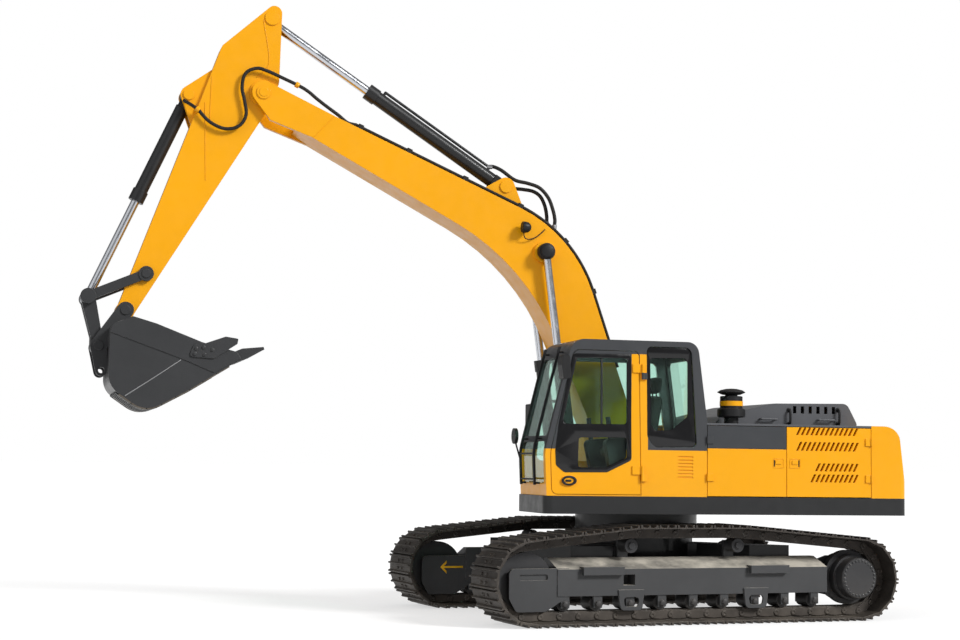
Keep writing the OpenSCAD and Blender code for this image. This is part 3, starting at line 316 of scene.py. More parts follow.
@dataclass(frozen=True)
class Finish:
    """A paint, casting, rubber or bare metal, with its grain, tone, wear and dust."""

    name: str
    colour: Colour
    roughness: float = 0.4
    metallic: float = 0.0
    coat: float = 0.0
    coat_roughness: float = 0.12
    shine: float = 0.28
    tone: float = 0.06
    tone_scale: float = 1.1
    grain: float = 0.05
    grain_scale: float = 260.0
    grain_depth: float = 0.002
    edge: float = 0.006
    wear: float = 0.25
    worn: Colour = (0.32, 0.31, 0.3)
    dust: float = 0.12
    dust_reach: float = 1.1
    dust_colour: Colour = (0.36, 0.31, 0.25)
    dust_roughness: float = 0.35
    second: Colour | None = None
    zones: tuple[Zone, ...] = ()

    def base(self, wire: Wiring) -> Socket | tuple[float, ...]:
        """Plain colour, with the second colour in its zones.

        Args:
            wire: the material's wiring.

        Returns:
            The colour, as a value or a socket.
        """
        if not self.second:
            return (*self.colour, 1.0)
        masks = [zone.mask(wire) for zone in self.zones]
        mask = masks[0]
        for other in masks[1:]:
            mask = wire.math("MAXIMUM", mask, other)
        return wire.mix(mask, (*self.colour, 1.0), (*self.second, 1.0))

    def make(self, shop: EffectShop) -> bpy.types.Material:
        """Builds the material.

        Args:
            shop: the shared effects.

        Returns:
            The finished material.
        """
        material, wire = new_material(self.name)
        tone = shop.place(wire, Effect.TONE, Scale=self.tone_scale, Depth=self.tone)["Tone"]
        edges = shop.place(wire, Effect.EDGES, Radius=self.edge, Amount=self.wear)
        dust = shop.place(wire, Effect.DUST, Amount=self.dust, Reach=self.dust_reach)["Mask"]
        grain = shop.place(wire, Effect.GRAIN, Scale=self.grain_scale)
        shade = wire.mix(1.0, self.base(wire), tone, "MULTIPLY")
        shade = wire.mix(edges["Mask"], shade, (*self.worn, 1.0))
        shade = wire.mix(dust, shade, (*self.dust_colour, 1.0))
        rough = wire.spread(grain["Share"], 0.3, 0.7, self.roughness - 0.06, self.roughness + 0.08)
        bump = wire.add("ShaderNodeBump", {"Strength": self.grain, "Distance": self.grain_depth,
                                           "Height": grain["Height"], "Normal": edges["Normal"]})
        wire.feed(material.node_tree.nodes["Principled BSDF"], {
            "Base Color": shade,
            "Roughness": wire.math("ADD", rough, wire.math("MULTIPLY", dust, self.dust_roughness)),
            "Normal": bump.outputs[0],
            "Metallic": self.metallic,
            "Specular IOR Level": self.shine,
            "Coat Weight": self.coat,
            "Coat Roughness": self.coat_roughness,
        })
        return material


@dataclass(frozen=True)
class Glass:
    """Tinted safety glass with a faint film of dust."""

    name: str
    tint: Colour
    shade: Colour
    film: float = 0.06
    bending: float = 1.3

    def make(self, shop: EffectShop) -> bpy.types.Material:
        """Builds the material.

        Args:
            shop: the shared effects.

        Returns:
            Glass that lets light through to what stands behind it.
        """
        material, wire = new_material(self.name)
        nodes = material.node_tree.nodes
        shader = nodes["Principled BSDF"]
        share = shop.place(wire, Effect.GRAIN, Scale=120.0)["Share"]
        tone = shop.place(wire, Effect.TONE, Scale=0.8, Depth=0.03)["Tone"]
        wire.feed(shader, {
            "Roughness": wire.spread(share, 0.35, 0.75, 0.0, self.film),
            "Base Color": wire.mix(1.0, (*self.tint, 1.0), tone, "MULTIPLY"),
            "Transmission Weight": 1.0,
            "IOR": self.bending,
        })
        ray = wire.add("ShaderNodeLightPath").outputs
        clear = wire.add("ShaderNodeBsdfTransparent", {"Color": (*self.shade, 1.0)}).outputs[0]
        light = wire.math("MAXIMUM", ray["Is Shadow Ray"], ray["Is Diffuse Ray"])
        mixed = wire.add("ShaderNodeMixShader", {0: light, 1: shader.outputs[0], 2: clear}).outputs[0]
        wire.feed(nodes["Material Output"], {"Surface": mixed})
        return material


YELLOW_TONE = (0.93, 0.405, 0.001)
GREY_TONE = (0.015, 0.0155, 0.0165)
CAB_TONE = (0.05, 0.053, 0.058)
BLACK_TONE = (0.012, 0.012, 0.013)
SCUFFED_GREY = (0.2, 0.2, 0.2)
SCUFFED_YELLOW = (0.4, 0.3, 0.1)
SILL = Zone(z=(1300, 1822))
SHELL_POST = Zone(x=(372, 470), y=(1380, 1430), z=(1300, 2838))
DOOR_POST = Zone(x=(400, 560), z=(1300, 2838))
PANEL_BAND = Zone(z=(1850, 2200))
TAIL_SKIRT = Zone(z=(1000, 1329))


class Paint(Enum):
    """Every finish on the machine."""

    YELLOW = Finish("yellow_paint", YELLOW_TONE, 0.34, coat=0.12, tone=0.04, wear=0.12,
                    worn=(0.5, 0.3, 0.03), dust=0.025)
    GREY = Finish("dark_grey_paint", GREY_TONE, 0.42, coat=0.2, tone=0.1, wear=0.3, worn=SCUFFED_GREY,
                  dust=0.1)
    HOOD = Finish("hood_paint", (0.1, 0.103, 0.112), 0.32, coat=0.3, tone=0.08, wear=0.3,
                  worn=SCUFFED_GREY, dust=0.1)
    FRAME = Finish("track_frame_paint", (0.052, 0.053, 0.055), 0.45, coat=0.1, tone=0.12, wear=0.7,
                   worn=(0.34, 0.33, 0.32), dust=1.6, dust_reach=0.08, dust_colour=(0.6, 0.555, 0.47))
    CAB = Finish("cab_paint", CAB_TONE, 0.4, coat=0.25, tone=0.06, wear=0.15, worn=SCUFFED_GREY,
                 dust=0.06, second=YELLOW_TONE, zones=(SILL, SHELL_POST))
    DOOR = Finish("door_paint", CAB_TONE, 0.36, coat=0.12, tone=0.04, wear=0.15, worn=SCUFFED_YELLOW,
                  dust=0.025, second=YELLOW_TONE, zones=(SILL, DOOR_POST))
    BAND = Finish("banded_door_paint", YELLOW_TONE, 0.34, coat=0.12, tone=0.04, wear=0.12,
                  worn=SCUFFED_YELLOW, dust=0.025, second=CAB_TONE, zones=(PANEL_BAND,))
    TAIL = Finish("counterweight_paint", YELLOW_TONE, 0.36, coat=0.12, tone=0.05, wear=0.15,
                  worn=SCUFFED_YELLOW, dust=0.03, second=GREY_TONE, zones=(TAIL_SKIRT,))
    TRACK = Finish("track_shoe_steel", (0.055, 0.048, 0.043), 0.52, metallic=0.55, tone=0.25,
                   tone_scale=6.0, grain=0.3, grain_scale=160.0, wear=0.9, worn=(0.3, 0.285, 0.265),
                   dust=0.35, dust_reach=0.9)
    CASTING = Finish("roller_casting", (0.045, 0.045, 0.047), 0.5, metallic=0.3, tone=0.15, grain=0.25,
                     grain_scale=150.0, wear=0.5, dust=0.3, dust_reach=0.6)
    BUCKET = Finish("bucket_paint", (0.036, 0.037, 0.039), 0.44, coat=0.1, tone=0.12, grain=0.12,
                    grain_scale=140.0, wear=0.5, worn=(0.26, 0.25, 0.24), dust=0.1, dust_reach=0.1)
    CHROME = Finish("rod_chrome", (0.6, 0.62, 0.66), 0.2, metallic=1.0, tone=0.03, grain=0.02, wear=0.0,
                    dust=0.0)
    STEEL = Finish("bare_steel", (0.4, 0.4, 0.41), 0.38, metallic=0.9, tone=0.1, wear=0.1, dust=0.25)
    WEAR = Finish("wear_plate_steel", (0.13, 0.11, 0.088), 0.55, metallic=0.3, tone=0.25, tone_scale=9.0,
                  grain=0.35, grain_scale=150.0, wear=0.7, worn=(0.42, 0.4, 0.37), dust=0.25)
    # Yellow of the travel arrow, partly its own paint and partly painted light: lifted brighter than the paint
    # to make up for the shade the arrow sits in.
    MARK = Finish("mark_yellow_painted_light", (1.0, 0.55, 0.02), 0.45, tone=0.05, wear=0.0, dust=0.05)
    PLASTIC = Finish("black_plastic", BLACK_TONE, 0.46, tone=0.15, grain=0.3, grain_scale=420.0, wear=0.1,
                     worn=(0.06, 0.06, 0.06), dust=0.1)
    GLOSS = Finish("black_pane_border", (0.008, 0.008, 0.009), 0.16, coat=0.3, tone=0.1, grain=0.01,
                   wear=0.0, dust=0.03)
    RUBBER = Finish("hose_rubber", (0.016, 0.015, 0.014), 0.58, tone=0.2, grain=0.35, grain_scale=500.0,
                    wear=0.0, dust=0.12)
    FABRIC = Finish("seat_fabric", (0.035, 0.037, 0.036), 0.85, tone=0.2, tone_scale=8.0, grain=0.6,
                    grain_scale=900.0, wear=0.0, dust=0.1)
    IRON = Finish("engine_iron", (0.05, 0.05, 0.048), 0.6, metallic=0.4, tone=0.2, grain=0.4, wear=0.2,
                  dust=0.3)
    PANE = Glass("window_glass", (0.66, 0.86, 0.78), (0.72, 0.86, 0.8))


class PaintShop:
    """Makes each finish the first time that a piece asks for it."""

    def __init__(self) -> None:
        """Starts with the shared effects and no finishes."""
        self.effects = EffectShop()
        self.made: dict[Paint, bpy.types.Material] = {}

    def get(self, paint: Paint) -> bpy.types.Material:
        """The material of a finish."""
        if paint not in self.made:
            self.made[paint] = paint.value.make(self.effects)
        return self.made[paint]

    def coat(self, node: str, paint: Paint) -> None:
        """Gives a CAD node its finish.

        Args:
            node: the node's name.
            paint: its finish.
        """
        mesh = frame["nodes"][node].data
        mesh.materials.clear()
        mesh.materials.append(self.get(paint))
        LOG.info("%s: %s", node, paint.value.name)


@dataclass
class CadCoats:
    """Which finish each CAD node wears."""

    coats: dict[Paint, tuple[str, ...]] = field(default_factory=lambda: {
        Paint.YELLOW: ("boom", "arm", "cooler_door_left", "pump_door_right", "right_tanks", "tool_box"),
        Paint.GREY: ("lower_frame", "deck", "skirts", "boom_barrel_left",
                     "boom_barrel_right", "arm_barrel", "bucket_barrel", "slew_ring"),
        Paint.HOOD: ("engine_hood", "house_frame"),
        Paint.FRAME: ("track_frame_left", "track_frame_right"),
        Paint.CAB: ("cab_shell",),
        Paint.DOOR: ("cab_door",),
        Paint.BAND: ("service_door_left",),
        Paint.TAIL: ("counterweight",),
        Paint.TRACK: ("track_left", "track_right"),
        Paint.CASTING: ("final_drive_left", "final_drive_right", "rollers_left", "rollers_right"),
        Paint.BUCKET: ("bucket", "side_links", "h_link"),
        Paint.CHROME: ("boom_rod_left", "boom_rod_right", "arm_rod", "bucket_rod"),
        Paint.PLASTIC: ("precleaner", "exhaust_pipe", "handrails", "consoles", "mirrors", "boom_lamp"),
        Paint.RUBBER: ("boom_pipes",),
        Paint.FABRIC: ("seat_chair",),
        Paint.IRON: ("engine_block",),
        Paint.PANE: ("cab_glass", "door_glass"),
    })

    def dress(self, shop: PaintShop) -> None:
        """Coats every node."""
        for paint, nodes in self.coats.items():
            for node in nodes:
                shop.coat(node, paint)


@dataclass
class Studio:
    """Pale floor, soft light and a white world."""

    floor_half: float = 900.0
    floor_drop: float = 0.002
    floor_tone: float = 0.5
    floor_glow: float = 0.58
    sun_from: Colour = (-0.60, 0.62, 0.52)
    sun_strength: float = 2.7
    sun_angle: float = 14.0
    fill_from: Colour = (0.75, 0.55, 0.45)
    fill_strength: float = 0.5
    fill_angle: float = 60.0
    sky: float = 0.48
    mirrored: float = 0.22

    def build(self) -> None:
        """Makes floor, lamps and world."""
        self.floor()
        self.lamp("key_lamp", self.sun_from, self.sun_strength, self.sun_angle)
        self.lamp("fill_lamp", self.fill_from, self.fill_strength, self.fill_angle)
        self.world()

    def floor(self) -> None:
        """Wide white floor that keeps the machine's shadow."""
        mesh = bpy.data.meshes.new("studio_floor")
        half = self.floor_half
        corners = [(-half, -half, 0), (half, -half, 0), (half, half, 0), (-half, half, 0)]
        mesh.from_pydata(corners, [], [(0, 1, 2, 3)])
        floor = added("studio_floor", mesh)
        floor.location.z = -self.floor_drop
        material, wire = new_material("studio_floor")
        nodes = material.node_tree.nodes
        nodes.remove(nodes["Principled BSDF"])
        ray = wire.add("ShaderNodeLightPath").outputs
        bounced = wire.math("MAXIMUM", ray["Is Glossy Ray"], ray["Is Transmission Ray"])
        seen = wire.math("MAXIMUM", ray["Is Camera Ray"], bounced)
        matt = wire.add("ShaderNodeBsdfDiffuse", {"Color": (*(self.floor_tone,) * 3, 1.0)}).outputs[0]
        glow = wire.math("MULTIPLY", seen, self.floor_glow)
        pale = wire.add("ShaderNodeEmission", {"Color": (1.0, 1.0, 1.0, 1.0), "Strength": glow}).outputs[0]
        both = wire.add("ShaderNodeAddShader", {0: matt, 1: pale}).outputs[0]
        wire.feed(nodes["Material Output"], {"Surface": both})
        mesh.materials.append(material)

    @staticmethod
    def lamp(name: str, toward: Colour, strength: float, angle: float) -> None:
        """Adds one broad sun.

        Args:
            name: the lamp's name.
            toward: direction from the machine to the lamp.
            strength: its strength.
            angle: its width in degrees.
        """
        light = bpy.data.lights.new(name, "SUN")
        light.energy = strength
        light.angle = math.radians(angle)
        added(name, light).rotation_euler = Vector(toward).to_track_quat("Z", "Y").to_euler()

    def world(self) -> None:
        """White backdrop, with a softer sky for the light."""
        world = bpy.data.worlds.new("studio_world")
        bpy.context.scene.world = world
        world.use_nodes = True
        wire = Wiring(world.node_tree)
        ray = wire.add("ShaderNodeLightPath").outputs
        seen = wire.math("MAXIMUM", ray["Is Camera Ray"], ray["Is Transmission Ray"])
        other = wire.spread(ray["Is Glossy Ray"], 0.0, 1.0, self.sky, self.mirrored)
        strength = wire.math("MAXIMUM", seen, other)
        wire.feed(world.node_tree.nodes["Background"], {"Color": (1.0, 1.0, 1.0, 1.0), "Strength": strength})


@dataclass
class Viewpoint:
    """The camera, where the photograph was taken from."""

    place: Place = (5.261, 19.349, 1.642)
    yaw: float = 14.59
    pitch: float = 4.64
    roll: float = 0.74
    lens: float = 66.93
    sensor: float = 36.0
    reach: float = 3000.0

    def build(self) -> None:
        """Makes the camera and gives it to the scene."""
        yaw, pitch, roll = (math.radians(a) for a in (self.yaw, self.pitch, self.roll))
        back = Vector((math.sin(yaw), math.cos(yaw), 0))
        right = Vector((-math.cos(yaw), math.sin(yaw), 0))
        look = -back * math.cos(pitch) + Vector((0, 0, math.sin(pitch)))
        rise = right.cross(look)
        x_axis = right * math.cos(roll) + rise * math.sin(roll)
        y_axis = rise * math.cos(roll) - right * math.sin(roll)
        data = bpy.data.cameras.new("viewpoint")
        data.lens, data.sensor_width, data.clip_end = self.lens, self.sensor, self.reach
        camera = added("viewpoint", data)
        turn = Matrix((x_axis, y_axis, -look)).transposed().to_4x4()
        camera.matrix_world = Matrix.Translation(self.place) @ turn
        bpy.context.scene.camera = camera


def rounded(points: Loop | Outline, radius: float | tuple[float, ...], steps: int = 5) -> Loop:
    """Outline with its corners rounded.

    Args:
        points: corners in order.
        radius: radius of every corner, or one for each.
        steps: steps of each arc.

    Returns:
        The points of the rounded outline.
    """
    out: Loop = []
    radii = radius if isinstance(radius, tuple) else (radius,) * len(points)
    for number, point in enumerate(points):
        corner = Vector(point)
        before = (Vector(points[number - 1]) - corner).normalized()
        after = (Vector(points[(number + 1) % len(points)]) - corner).normalized()
        reach = radii[number] / math.tan(before.angle(after) / 2)
        start, end = corner + before * reach, corner + after * reach
        for step in range(steps + 1):
            share = step / steps
            out.append(tuple(start.lerp(corner, share).lerp(corner.lerp(end, share), share)))
    return out


def oval(x: float, z: float, wide: float, high: float) -> Loop:
    """Oval outline about a middle, from its two half widths."""
    return [(x + wide * math.cos(a), z + high * math.sin(a)) for a in turns(32)]


def smooth(points: list[Vector], step: float = 0.012, parts: int = 24) -> list[Vector]:
    """Even points on one smooth curve through the given ones.

    Args:
        points: points that the curve passes.
        step: distance between the new points, in metres.
        parts: parts in which each stretch is first cut.

    Returns:
        The points of the curve.
    """
    fine: list[Vector] = []
    ends = [points[0] * 2 - points[1], *points, points[-1] * 2 - points[-2]]
    for a, b, c, d in zip(ends, ends[1:], ends[2:], ends[3:]):
        for part in range(parts):
            t = part / parts
            fine.append(0.5 * (2 * b + (c - a) * t + (2 * a - 5 * b + 4 * c - d) * t * t
                               + (3 * b - a - 3 * c + d) * t ** 3))
    fine.append(points[-1])
    out, left = [fine[0]], step
    for a, b in zip(fine, fine[1:]):
        span = (b - a).length
        while span >= left:
            a = a.lerp(b, left / span)
            span = (b - a).length
            out.append(a)
            left = step
        left -= span
    if (out[-1] - fine[-1]).length < step * 0.5:
        out.pop()
    return [*out, fine[-1]]


class Shaper:
    """Makes finished pieces as plain meshes and hangs them on bodies."""

    def __init__(self, shop: PaintShop) -> None:
        """Keeps the finishes."""
        self.shop = shop

    def piece(self, name: str, mesh: Mesh, paint: Paint, body: str | None) -> bpy.types.Object:
        """Adds one piece.

        Args:
            name: the piece's name.
            mesh: its shape, in the shared frame.
            paint: its finish.
            body: the body that it rides on, or None where it spans two and is left unattached.

        Returns:
            The new object.
        """
        mesh.name = name
        mesh.materials.clear()
        mesh.materials.append(self.shop.get(paint))
        piece = added(name, mesh)
        if body:
            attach(piece, body)
        LOG.info("%s: %d faces", name, len(mesh.polygons))
        return piece

    @staticmethod
    def close(form: bmesh.types.BMesh, angle: float = 35.0) -> Mesh:
        """Turns a form into a mesh with its faces outward.

        Args:
            form: the form, which is freed.
            angle: edges above it stay sharp, in degrees.

        Returns:
            The mesh.
        """
        bmesh.ops.recalc_face_normals(form, faces=form.faces)
        for face in form.faces:
            face.smooth = True
        for edge in form.edges:
            edge.smooth = len(edge.link_faces) == 2 and edge.calc_face_angle() < math.radians(angle)
        mesh = bpy.data.meshes.new("form")
        form.to_mesh(mesh)
        form.free()
        return mesh

    def skin(self, form: bmesh.types.BMesh, rings: list[list[bmesh.types.BMVert]], capped: bool,
             angle: float = 35.0) -> Mesh:
        """Lays faces over rings of points.

        Args:
            form: the form that holds the points.
            rings: the rings in order, of which one may be a single point.
            capped: True where the first and last ring are closed by a face.
            angle: edges above it stay sharp, in degrees.

        Returns:
            The mesh.
        """
        sides = max(len(ring) for ring in rings)
        for a, b in zip(rings, rings[1:]):
            for k in range(sides):
                corners = (a[k % len(a)], a[(k + 1) % len(a)], b[(k + 1) % len(b)], b[k % len(b)])
                form.faces.new(list(dict.fromkeys(corners)))
        if capped:
            form.faces.new(rings[0])
            form.faces.new(list(reversed(rings[-1])))
        return self.close(form, angle)

    def plate(self, loops: list[Loop], y: float, thick: float, bevel: float = 1.0) -> Mesh:
        """Plate in X and Z with holes, in millimetres from the swing axis.

        Args:
            loops: the outline, then its holes.
            y: the plate's inner face.
            thick: its thickness.
            bevel: the roundness of its edges.

        Returns:
            The plate as a mesh.
        """
        curve = bpy.data.curves.new("outline", "CURVE")
        curve.dimensions, curve.fill_mode = "2D", "BOTH"
        curve.extrude, curve.bevel_depth = (thick / 2 - bevel) / MM, bevel / MM
        curve.bevel_resolution, curve.offset = 1, -bevel / MM
        for loop in loops:
            spline = curve.splines.new("POLY")
            spline.points.add(len(loop) - 1)
            for point, (x, z) in zip(spline.points, loop):
                point.co = (x / MM, z / MM, 0, 1)
            spline.use_cyclic_u = True
        form = bmesh.new()
        form.from_mesh(baked(added("outline", curve)))
        bmesh.ops.remove_doubles(form, verts=form.verts, dist=1e-5)
        for vert in form.verts:
            vert.co = Vector((SWING.x + vert.co.x, y / MM + thick / 2 / MM - vert.co.z, vert.co.y))
        return self.close(form)

    def tube(self, path: list[Vector], radius: float, sides: int = 14) -> Mesh:
        """Round tube along a path, closed at its ends.

        Args:
            path: points of its middle.
            radius: its radius in metres.
            sides: steps round it.

        Returns:
            The tube.
        """
        form = bmesh.new()
        side = (path[1] - path[0]).orthogonal().normalized()
        rings = []
        for number, point in enumerate(path):
            ahead = path[min(number + 1, len(path) - 1)] - path[max(number - 1, 0)]
            side = (side - ahead * (side.dot(ahead) / ahead.length_squared)).normalized()
            other = ahead.cross(side).normalized()
            rings.append([form.verts.new(point + radius * (math.cos(a) * side + math.sin(a) * other))
                          for a in turns(sides)])
        return self.skin(form, rings, True)

    def lathe(self, profile: Loop, at: Vector, axis: Vector, sides: int = 40) -> Mesh:
        """Turned form about an axis.

        Args:
            profile: radius and height of each point, in millimetres, from the axis back to it.
            at: where the axis starts.
            axis: its direction.
            sides: steps round it.

        Returns:
            The turned mesh.
        """
        form = bmesh.new()
        turn = axis.to_track_quat("Z", "Y").to_matrix()
        rings = []
        for radius, height in profile:
            spots = [Vector((radius * math.cos(a), radius * math.sin(a), height)) for a in turns(sides)]
            rings.append([form.verts.new(at + turn @ spot / MM) for spot in spots[:sides if radius > 0 else 1]])
        return self.skin(form, rings, False)

    def bolt(self, size: float) -> Mesh:
        """Hexagon head on a washer."""
        washer = [(0, 0), (1.35, 0), (1.35, 0.18), (0, 0.18)]
        head = [(0, 0), (1.1, 0), (1.1, 0.7), (0.9, 0.82), (0, 0.82)]
        return self.joined([self.lathe([(size * r, size * h) for r, h in profile], Vector(), UP, sides)
                            for profile, sides in ((washer, 16), (head, 6))])

    @staticmethod
    def joined(meshes: list[Mesh]) -> Mesh:
        """One mesh out of several."""
        form = bmesh.new()
        for mesh in meshes:
            form.from_mesh(mesh)
        out = bpy.data.meshes.new("joined")
        form.to_mesh(out)
        form.free()
        return out

    def box(self, low: Vector, high: Vector, bevel: float = 0.004) -> Mesh:
        """Block with rounded edges.

        Args:
            low: its lowest corner.
            high: its highest corner.
            bevel: width of the rounding, in metres.

        Returns:
            The block.
        """
        form = bmesh.new()
        bmesh.ops.create_cube(form, size=1.0)
        for vert in form.verts:
            vert.co = Vector(((low[k] + high[k]) / 2 + vert.co[k] * (high[k] - low[k]) for k in range(3)))
        bmesh.ops.bevel(form, geom=list(form.edges), offset=bevel, segments=2, affect="EDGES", profile=0.5)
        return self.close(form, 50.0)


@dataclass(frozen=True)
class Spot:
    """Where one repeat goes: its place and its turn."""

    at: Vector
    turn: Matrix


class Repeater:
    """Sets copies of one small form on points through Geometry Nodes."""

    def __init__(self, shaper: Shaper) -> None:
        """Makes the node group once."""
        self.shaper = shaper
        self.tree = bpy.data.node_groups.new("repeat_on_points", "GeometryNodeTree")
        for name, kind in (("Geometry", "Geometry"), ("Form", "Object"), ("Spin", "Float"), ("Seed", "Int"),
                           ("Material", "Material")):
            self.tree.interface.new_socket(name=name, in_out="INPUT", socket_type="NodeSocket" + kind)
        self.tree.interface.new_socket(name="Geometry", in_out="OUTPUT", socket_type="NodeSocketGeometry")
        wire = Wiring(self.tree)
        given = wire.add("NodeGroupInput").outputs
        form = wire.add("GeometryNodeObjectInfo", {"Object": given["Form"]}).outputs["Geometry"]
        stored = wire.add("GeometryNodeInputNamedAttribute", {"Name": "turn"}, data_type="FLOAT_VECTOR")
        turn = wire.add("FunctionNodeEulerToRotation", {0: stored.outputs[0]}).outputs[0]
        limits = {3: given["Spin"], "Seed": given["Seed"]}
        chance = wire.add("FunctionNodeRandomValue", limits, data_type="FLOAT")
        spin = wire.add("ShaderNodeCombineXYZ", {2: chance.outputs[1]}).outputs[0]
        own = wire.add("FunctionNodeEulerToRotation", {0: spin}).outputs[0]
        both = wire.add("FunctionNodeRotateRotation", {0: turn, 1: own}, rotation_space="LOCAL").outputs[0]
        copies = wire.add("GeometryNodeInstanceOnPoints",
                          {"Points": given["Geometry"], "Instance": form, "Rotation": both}).outputs[0]
        real = wire.add("GeometryNodeRealizeInstances", {0: copies}).outputs[0]
        painted = wire.add("GeometryNodeSetMaterial", {"Geometry": real, "Material": given["Material"]})
        wire.add("NodeGroupOutput", {"Geometry": painted.outputs[0]})

    def scatter(self, name: str, form: Mesh, spots: list[Spot], paint: Paint, body: str,
                spin: float = 0.0, seed: int = 7) -> bpy.types.Object:
        """Makes one piece of many copies.

        Args:
            name: the piece's name.
            form: the form that repeats, about its own origin.
            spots: where the copies go.
            paint: their finish.
            body: the body that they ride on.
            spin: most that a copy turns about its own axis by chance, in radians.
            seed: seed of that chance.

        Returns:
            The piece, as a plain mesh.
        """
        source = added(name + "_form", form)
        points = bpy.data.meshes.new(name + "_points")
        points.from_pydata([spot.at for spot in spots], [], [])
        stored = points.attributes.new("turn", "FLOAT_VECTOR", "POINT")
        for item, spot in zip(stored.data, spots):
            item.vector = spot.turn.to_euler()
        holder = added(name + "_points", points)
        nodes = holder.modifiers.new("repeat", "NODES")
        nodes.node_group = self.tree
        values = {"Form": source, "Spin": spin, "Seed": seed, "Material": self.shaper.shop.get(paint)}
        for item in self.tree.interface.items_tree:
            if item.in_out == "INPUT" and item.name in values:
                nodes[item.identifier] = values[item.name]
        holder.update_tag()
        bpy.context.view_layer.update()
        mesh = baked(holder)
        bpy.data.objects.remove(source)
        return self.shaper.piece(name, mesh, paint, body)


@dataclass
class Dress:
    """A sub-assembly to dress, with what makes its meshes and sets its copies."""

    shaper: Shaper
    repeater: Repeater


@dataclass
class TrackDress(Dress):
    """Chain links, bolts, caps and arrow of the tracks, in millimetres from the swing axis."""

    body: str = "undercarriage"
    wheel_base: float = 3910.0
    axle_z: float = 455.0
    end_r: float = 429.0
    carriers: tuple[Place, ...] = ((751.0, 812.0, 199.0), (-532.0, 812.0, 199.0))
    shoes: int = 49
    mid: float = 1295.0
    chain_half: float = 95.5
    link_middle: float = 66.0
    link_half: float = 118.0
    link_height: float = 44.0
    link_thick: float = 16.0
    boss_r: float = 33.0
    bolt_half: float = 62.0
    bolt_shares: tuple[float, ...] = (0.3, 0.7)
    hub_bolts: int = 28
    hub_ring: float = 190.0
    hub_face: float = 272.0
    frame_face: float = 175.0
    rollers: int = 9
    roller_start: float = 415.0
    roller_ends: float = 923.0
    roller_z: float = 221.0
    cap_depth: float = 15.0
    arrow_depth: float = 10.3
    arrow: Outline = ((1945, 459), (1868, 535), (1868, 503), (1901, 470), (1665, 470), (1665, 448), (1901, 448),
                      (1868, 415), (1868, 383))

    def circles(self) -> list[Place]:
        """The circles that the plate line runs round."""
        half = self.wheel_base / 2
        return [(-half, self.axle_z, self.end_r), (half, self.axle_z, self.end_r), *self.carriers]

    def belt(self) -> list[tuple[Vector, float, float, float]]:
        """Straight and curved stretches of the plate line.

        Returns:
            Start or middle, angle, length and radius of each, with no radius where it is straight.
        """
        rounds, out, angles = self.circles(), [], []
        pairs = list(zip(rounds, rounds[1:] + rounds[:1]))
        for a, b in pairs:
            step = Vector((b[0] - a[0], b[1] - a[1]))
            angles.append(math.atan2(step.y, step.x) - math.acos((a[2] - b[2]) / step.length))
        for (a, b), angle, following in zip(pairs, angles, angles[1:] + angles[:1]):
            step = Vector((b[0] - a[0], b[1] - a[1]))
            start = Vector(a[:2]) + a[2] * Vector((math.cos(angle), math.sin(angle)))
            out.append((start, angle, math.sqrt(step.length_squared - (a[2] - b[2]) ** 2), 0.0))
            out.append((Vector(b[:2]), angle, b[2] * ((following - angle) % math.tau), b[2]))
        return out

    def along_belt(self, t: float, out: float) -> tuple[Vector, float]:
        """Point on the plate line, moved outward.

        Args:
            t: distance along the line.
            out: distance outward from it.

        Returns:
            The point and its outward angle.
        """
        for start, angle, length, radius in self.belt():
            if t <= length:
                break
            t -= length
        if radius:
            angle += t / radius
            return start + (radius + out) * Vector((math.cos(angle), math.sin(angle))), angle
        way = Vector((-math.sin(angle), math.cos(angle)))
        return start + way * t + out * Vector((math.cos(angle), math.sin(angle))), angle

    def spots(self, share: float, out: float, across: float, flat: bool) -> list[Spot]:
        """Places on every shoe of both tracks.

        Args:
            share: share of the pitch past the shoe's start.
            out: distance outward from the plate line.
            across: distance outward from the track's middle, towards the outer side.
            flat: True where the copy's axis points sideways, False where it points outward.

        Returns:
            One place per shoe and track.
        """
        pitch = sum(stretch[2] for stretch in self.belt()) / self.shoes
        found = []
        for side in (1, -1):
            for shoe in range(self.shoes):
                point, angle = self.along_belt((shoe + share) * pitch, out)
                at = lower(point.x, side * (self.mid + across), point.y)
                normal = track_way(math.cos(angle), 0, math.sin(angle))
                ahead = track_way(-math.sin(angle), 0, math.cos(angle))
                sideways = track_way(0, 1, 0) * side * (1 if across > 0 else -1)
                found.append(Spot(at, facing(sideways if flat else normal, ahead)))
        return found

    def link_form(self) -> Mesh:
        """One link plate with a pin boss at an end, lying in its own plane.

        Returns:
            The link.
        """
        form = bmesh.new()
        half, high, r = self.link_half, self.link_height, self.boss_r
        outline = rounded([(-half, -high), (half, -high), (half, high * 0.75), (0, high), (-half, high * 0.75)],
                          30.0, 4)
        face = form.faces.new([form.verts.new((x / MM, y / MM, 0)) for x, y in outline])
        raised = bmesh.ops.extrude_face_region(form, geom=[face])["geom"]
        bmesh.ops.translate(form, vec=(0, 0, self.link_thick / MM),
                            verts=[v for v in raised if isinstance(v, bmesh.types.BMVert)])
        profile = [(0, 0), (r, 0), (r, 22), (r - 5, 27), (12, 27), (9, 22), (0, 22)]
        boss = self.shaper.lathe(profile, Vector((half * 0.86 / MM, 0, 0)), UP, 18)
        return self.shaper.joined([self.shaper.close(form), boss])

    def travel_arrow(self) -> Mesh:
        """Arrow on the inner face of the right idler cover, turned with the tracks."""
        mark = self.shaper.plate([list(self.arrow)], -self.mid + self.frame_face - self.arrow_depth, 2.3, 0.5)
        axis = lower(0, 0, 0)
        turn = Matrix.Rotation(TRACK_TURN, 4, "Z")
        mark.transform(Matrix.Translation(axis) @ turn @ Matrix.Translation(-axis))
        return mark

